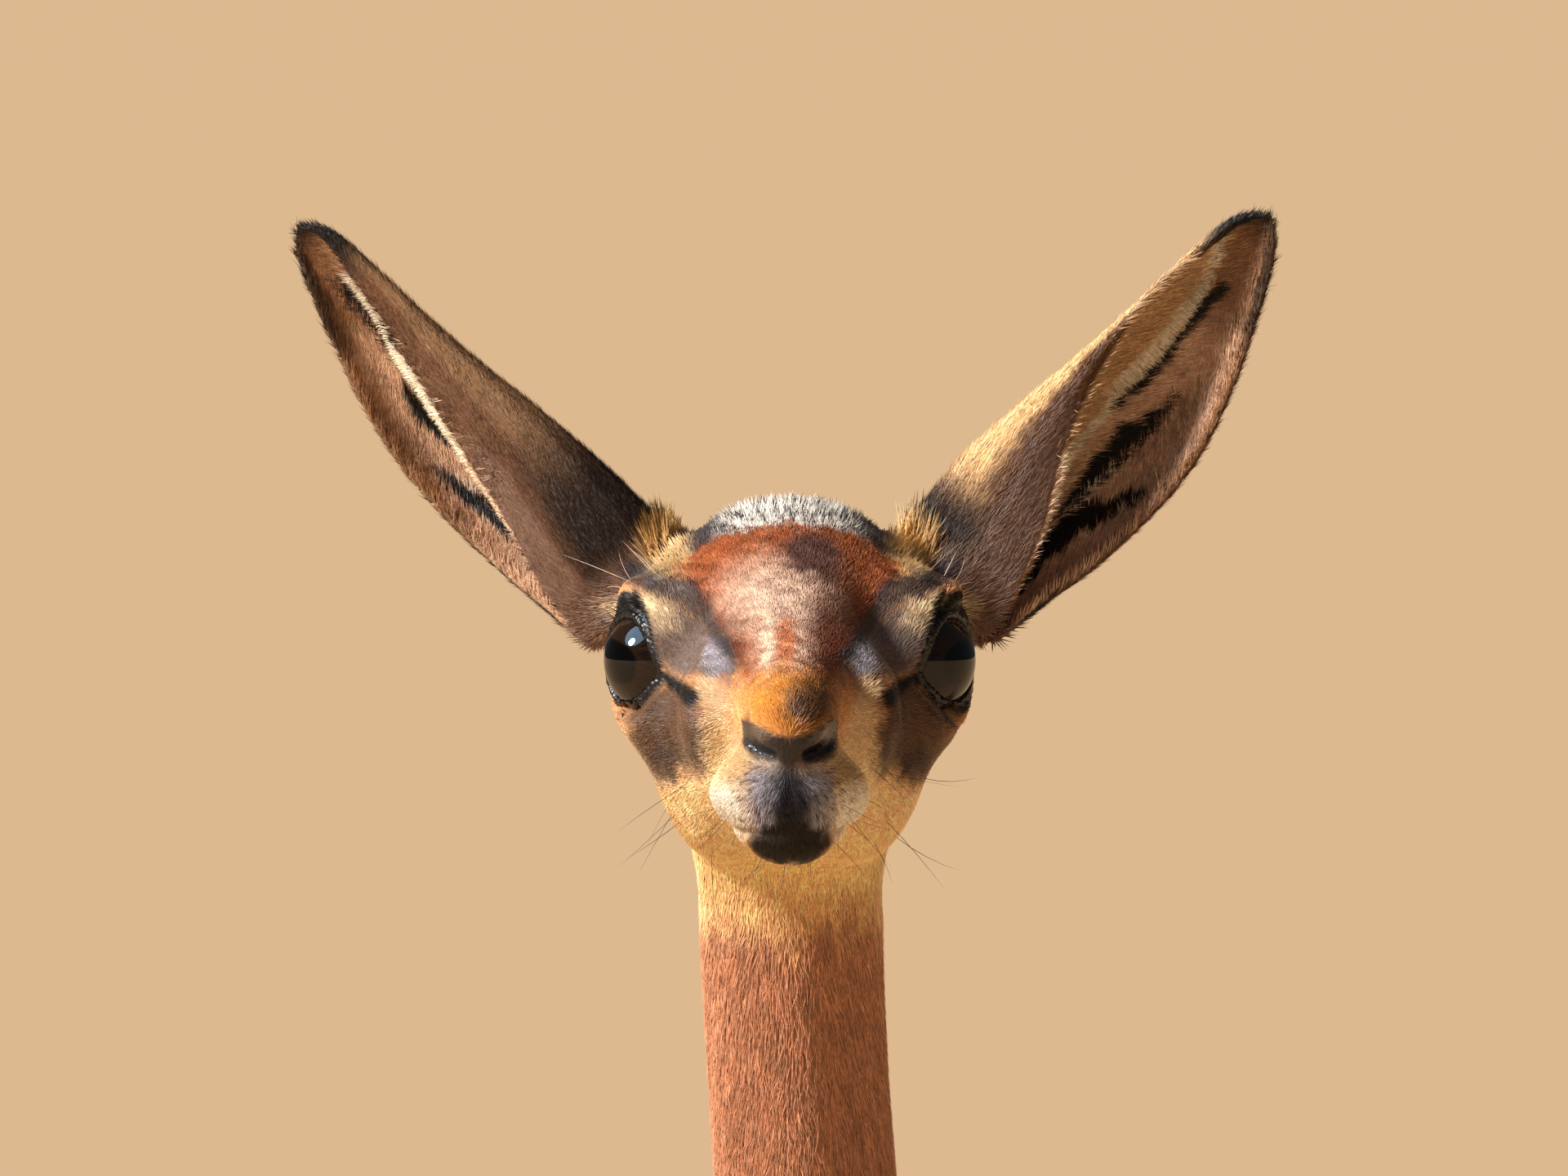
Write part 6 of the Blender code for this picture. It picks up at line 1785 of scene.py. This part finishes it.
def stray_hairs(places, normals, shift, hair):
    """Whiskers, brow hairs and knee brushes: single long hairs rooted in parts of the skin."""
    straight = straightened(places)
    local = mirrored(head_to_local(straight))
    for number, (name, hairs) in enumerate(STRAY_HAIRS.items()):
        draw = np.random.default_rng(SEED + 70 + number)
        inside = ((local > np.array(hairs.low)) & (local < np.array(hairs.high))).all(1)
        inside &= normals[:, 1] < hairs.facing
        picked = draw.choice(np.flatnonzero(inside), hairs.count)
        roots, facing = places[picked], normals[picked]
        ways = lie_of(roots, facing, None) * (1.0 - hairs.stand) + facing * hairs.stand
        ways += draw.normal(0.0, hairs.spread, (hairs.count, 3))
        ways /= np.linalg.norm(ways, axis=1)[:, None]
        up = facing - ways * (facing * ways).sum(1)[:, None] + (0.0, 0.0, 1e-4)
        up /= np.linalg.norm(up, axis=1)[:, None]
        lengths = draw.uniform(*hairs.lengths, hairs.count)
        curls = np.tile((0.0, hairs.bend), (hairs.count, 1))
        tints = np.tile(TINTS[hairs.tint], (hairs.count, 1))
        widths = np.full(hairs.count, hairs.width)
        piece = lock_piece(
            name, roots + shift, up, ways, lengths, widths, curls, tints, roots[:, 0] > 0, draw, hair, rings=4
        )


def lashes(shift, hair, draw):
    """Short dark lashes along the upper lids."""
    outward, along, up = eye_frame()
    length = draw.uniform(-0.80, 0.72, LASHES)
    power = np.where(length > 0, ALMOND_POINT, ALMOND_POWER)
    height = (1.0 - length**2) ** (1.0 / power) * OPENING_HALF_HEIGHT
    length *= OPENING_HALF_LENGTH
    depth = np.sqrt(np.maximum(1.0 - length**2 - height**2, 0.0))
    way = depth[:, None] * outward + length[:, None] * along + height[:, None] * up
    roots = np.array(EYE_CENTRE) + way * (EYE_RADIUS + LID_THICKNESS * 0.7)
    ways = way * 0.8 + outward * 0.4 + up * 0.25 + draw.normal(0.0, 0.12, (LASHES, 3))
    ways /= np.linalg.norm(ways, axis=1)[:, None]
    both = []
    for flip in (1, -1):
        turn = np.array((flip, -1.0, 1.0))
        base = np.array((HEAD_LEAN, -EYE_FORWARD, EYE_HEIGHT))
        both.append((roots * turn + base, ways * turn))
    roots, ways = (np.vstack(parts) for parts in zip(*both))
    facing = np.tile((0.0, 0.0, 1.0), (2 * LASHES, 1))
    facing = facing - ways * (facing * ways).sum(1)[:, None]
    facing /= np.linalg.norm(facing, axis=1)[:, None]
    lengths = draw.uniform(*LASH_LENGTHS, 2 * LASHES)
    curls = np.tile((0.0, -0.25), (2 * LASHES, 1))
    tints = np.tile(TINTS["lid"], (2 * LASHES, 1))
    piece = lock_piece(
        "lashes", roots + shift, facing, ways, lengths, np.full(2 * LASHES, LASH_WIDTH), curls, tints,
        roots[:, 0] > HEAD_LEAN, draw, hair, rings=3,
    )


def tail_locks(shift, hair, draw):
    """The black tuft at the tail's end."""
    count = TAIL_HAIRS
    share = draw.uniform(0.0, 1.0, count) ** 1.2
    angle = draw.uniform(0.0, math.tau, count)
    z = 0.665 - share * 0.075
    radius = np.interp(z, (0.585, 0.66), (0.0022, 0.0062))
    out = np.column_stack((np.sin(angle), np.cos(angle), np.zeros(count)))
    roots = out * radius[:, None] + np.column_stack((np.zeros(count), np.full(count, TAIL[-1][1]), z))
    ways = np.tile((0.0, 0.0, -1.0), (count, 1)) + 0.10 * out
    ways /= np.linalg.norm(ways, axis=1)[:, None]
    facing = out - ways * (out * ways).sum(1)[:, None]
    facing /= np.linalg.norm(facing, axis=1)[:, None]
    lengths = draw.uniform(0.040, 0.080, count) * (1.0 - 0.15 * share)
    curls = np.column_stack((draw.uniform(0.10, 0.26, count), draw.uniform(-0.22, -0.02, count)))
    colours = np.tile(TINTS["black"] * 1.3, (count, 1))
    piece = lock_piece(
        "tail_tuft_hair", roots + shift, facing, ways, lengths, np.full(count, 0.0016), curls,
        colours, roots[:, 0] > 0, draw, hair, rings=5,
    )
    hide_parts("tail_tuft")


def lamp(name, data, place, target, colour):
    data.color = colour
    made = bpy.data.objects.new(name, data)
    bpy.context.scene.collection.objects.link(made)
    made.location = place
    made.rotation_euler = (Vector(target) - Vector(place)).to_track_quat("-Z", "Y").to_euler()
    made.visible_camera = False
    return made


def surroundings(eyes):
    """Pale floor, soft studio light and the photograph's camera."""
    mesh = bpy.data.meshes.new("floor")
    reach = FLOOR_REACH
    mesh.from_pydata([(-reach, -reach, 0.0), (reach, -reach, 0.0), (reach, reach, 0.0), (-reach, reach, 0.0)], [], [(0, 1, 2, 3)])
    floor = bpy.data.objects.new("floor", mesh)
    bpy.context.scene.collection.objects.link(floor)
    made = bpy.data.materials.new("floor")
    nodes, links, shader = nodes_of(made)
    shader.inputs["Base Color"].default_value = (*linear(FLOOR_COLOUR), 1.0)
    shader.inputs["Roughness"].default_value = 0.9
    mesh.materials.append(made)
    world = bpy.data.worlds.new("studio")
    world.use_nodes = True
    background = world.node_tree.nodes["Background"]
    background.inputs["Color"].default_value = (*linear(WORLD_COLOUR), 1.0)
    background.inputs["Strength"].default_value = WORLD_STRENGTH
    bpy.context.scene.world = world
    key = bpy.data.lights.new("key", "SUN")
    key.energy = KEY_STRENGTH
    key.angle = math.radians(KEY_SOFT_DEG)
    lamp("key", key, eyes + Vector(KEY_FROM), eyes, KEY_COLOUR)
    sky = bpy.data.lights.new("sky", "AREA")
    sky.shape = "DISK"
    sky.size = SKY_SIZE
    sky.energy = SKY_POWER
    lamp("sky", sky, eyes + Vector(SKY_PLACE), eyes, SKY_COLOUR).visible_diffuse = False
    bpy.context.scene.view_settings.view_transform = "Standard"
    data = bpy.data.cameras.new("camera")
    camera = bpy.data.objects.new("camera", data)
    bpy.context.scene.collection.objects.link(camera)
    tilt = math.radians(CAMERA_DOWN_DEG)
    up = Vector((0.0, math.sin(tilt), math.cos(tilt)))
    back = Vector((0.0, -math.cos(tilt), math.sin(tilt)))
    aim = eyes + Vector((VIEW_ASIDE, 0.0, 0.0)) + up * VIEW_UP
    camera.location = aim + back * CAMERA_AWAY
    camera.rotation_euler = (-back).to_track_quat("-Z", "Y").to_euler()
    data.sensor_width = 36.0
    data.lens = data.sensor_width * CAMERA_AWAY / VIEW_WIDTH
    data.clip_end = 2 * FLOOR_REACH
    bpy.context.scene.camera = camera


def main():
    middles = [sum(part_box("eye_" + side), Vector()) / 2 for side in ("left", "right")]
    eyes = (middles[0] + middles[1]) / 2
    shift = np.array(eyes) - np.array((HEAD_LEAN, -EYE_FORWARD - EYE_CENTRE[1], EYE_HEIGHT + EYE_CENTRE[2]))
    surroundings(eyes)
    mesh = skin_mesh()
    places = np.empty(len(mesh.vertices) * 3, np.float32)
    mesh.vertices.foreach_get("co", places)
    mesh.vertices.foreach_set("co", (places.reshape(-1, 3) + shift).ravel().astype(np.float32))
    mesh.update()
    skin = bpy.data.objects.new("skin", mesh)
    bpy.context.scene.collection.objects.link(skin)
    mesh.materials.append(skin_look())
    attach(skin, "root")
    legs = [f"{legs}leg_{side}_{part}" for legs in ("fore", "hind") for side in ("left", "right") for part in ("upper", "lower")]
    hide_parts("head", "neck", "torso", "tail", "ear_left", "ear_right", *legs)
    hair = coat_look()
    places, normals = build_coat(skin, shift, hair)
    stray_hairs(places, normals, shift, hair)
    lashes(shift, hair, np.random.default_rng(SEED + 90))
    ear_fringe(shift, hair, np.random.default_rng(SEED + 50))
    tail_locks(shift, hair, np.random.default_rng(SEED + 60))
    wet, horn = eye_look(), horn_look()
    for side_name, flip in (("left", 1), ("right", -1)):
        eye_piece(side_name, flip, shift, wet)
    for foot in STRIDE:
        flip = 1 if foot.endswith("left") else -1
        for claw_name, side in (("outer", flip), ("inner", -flip)):
            hoof_piece(foot, flip, claw_name, side, shift, horn)
        dewclaws(foot, flip, shift, horn)


main()
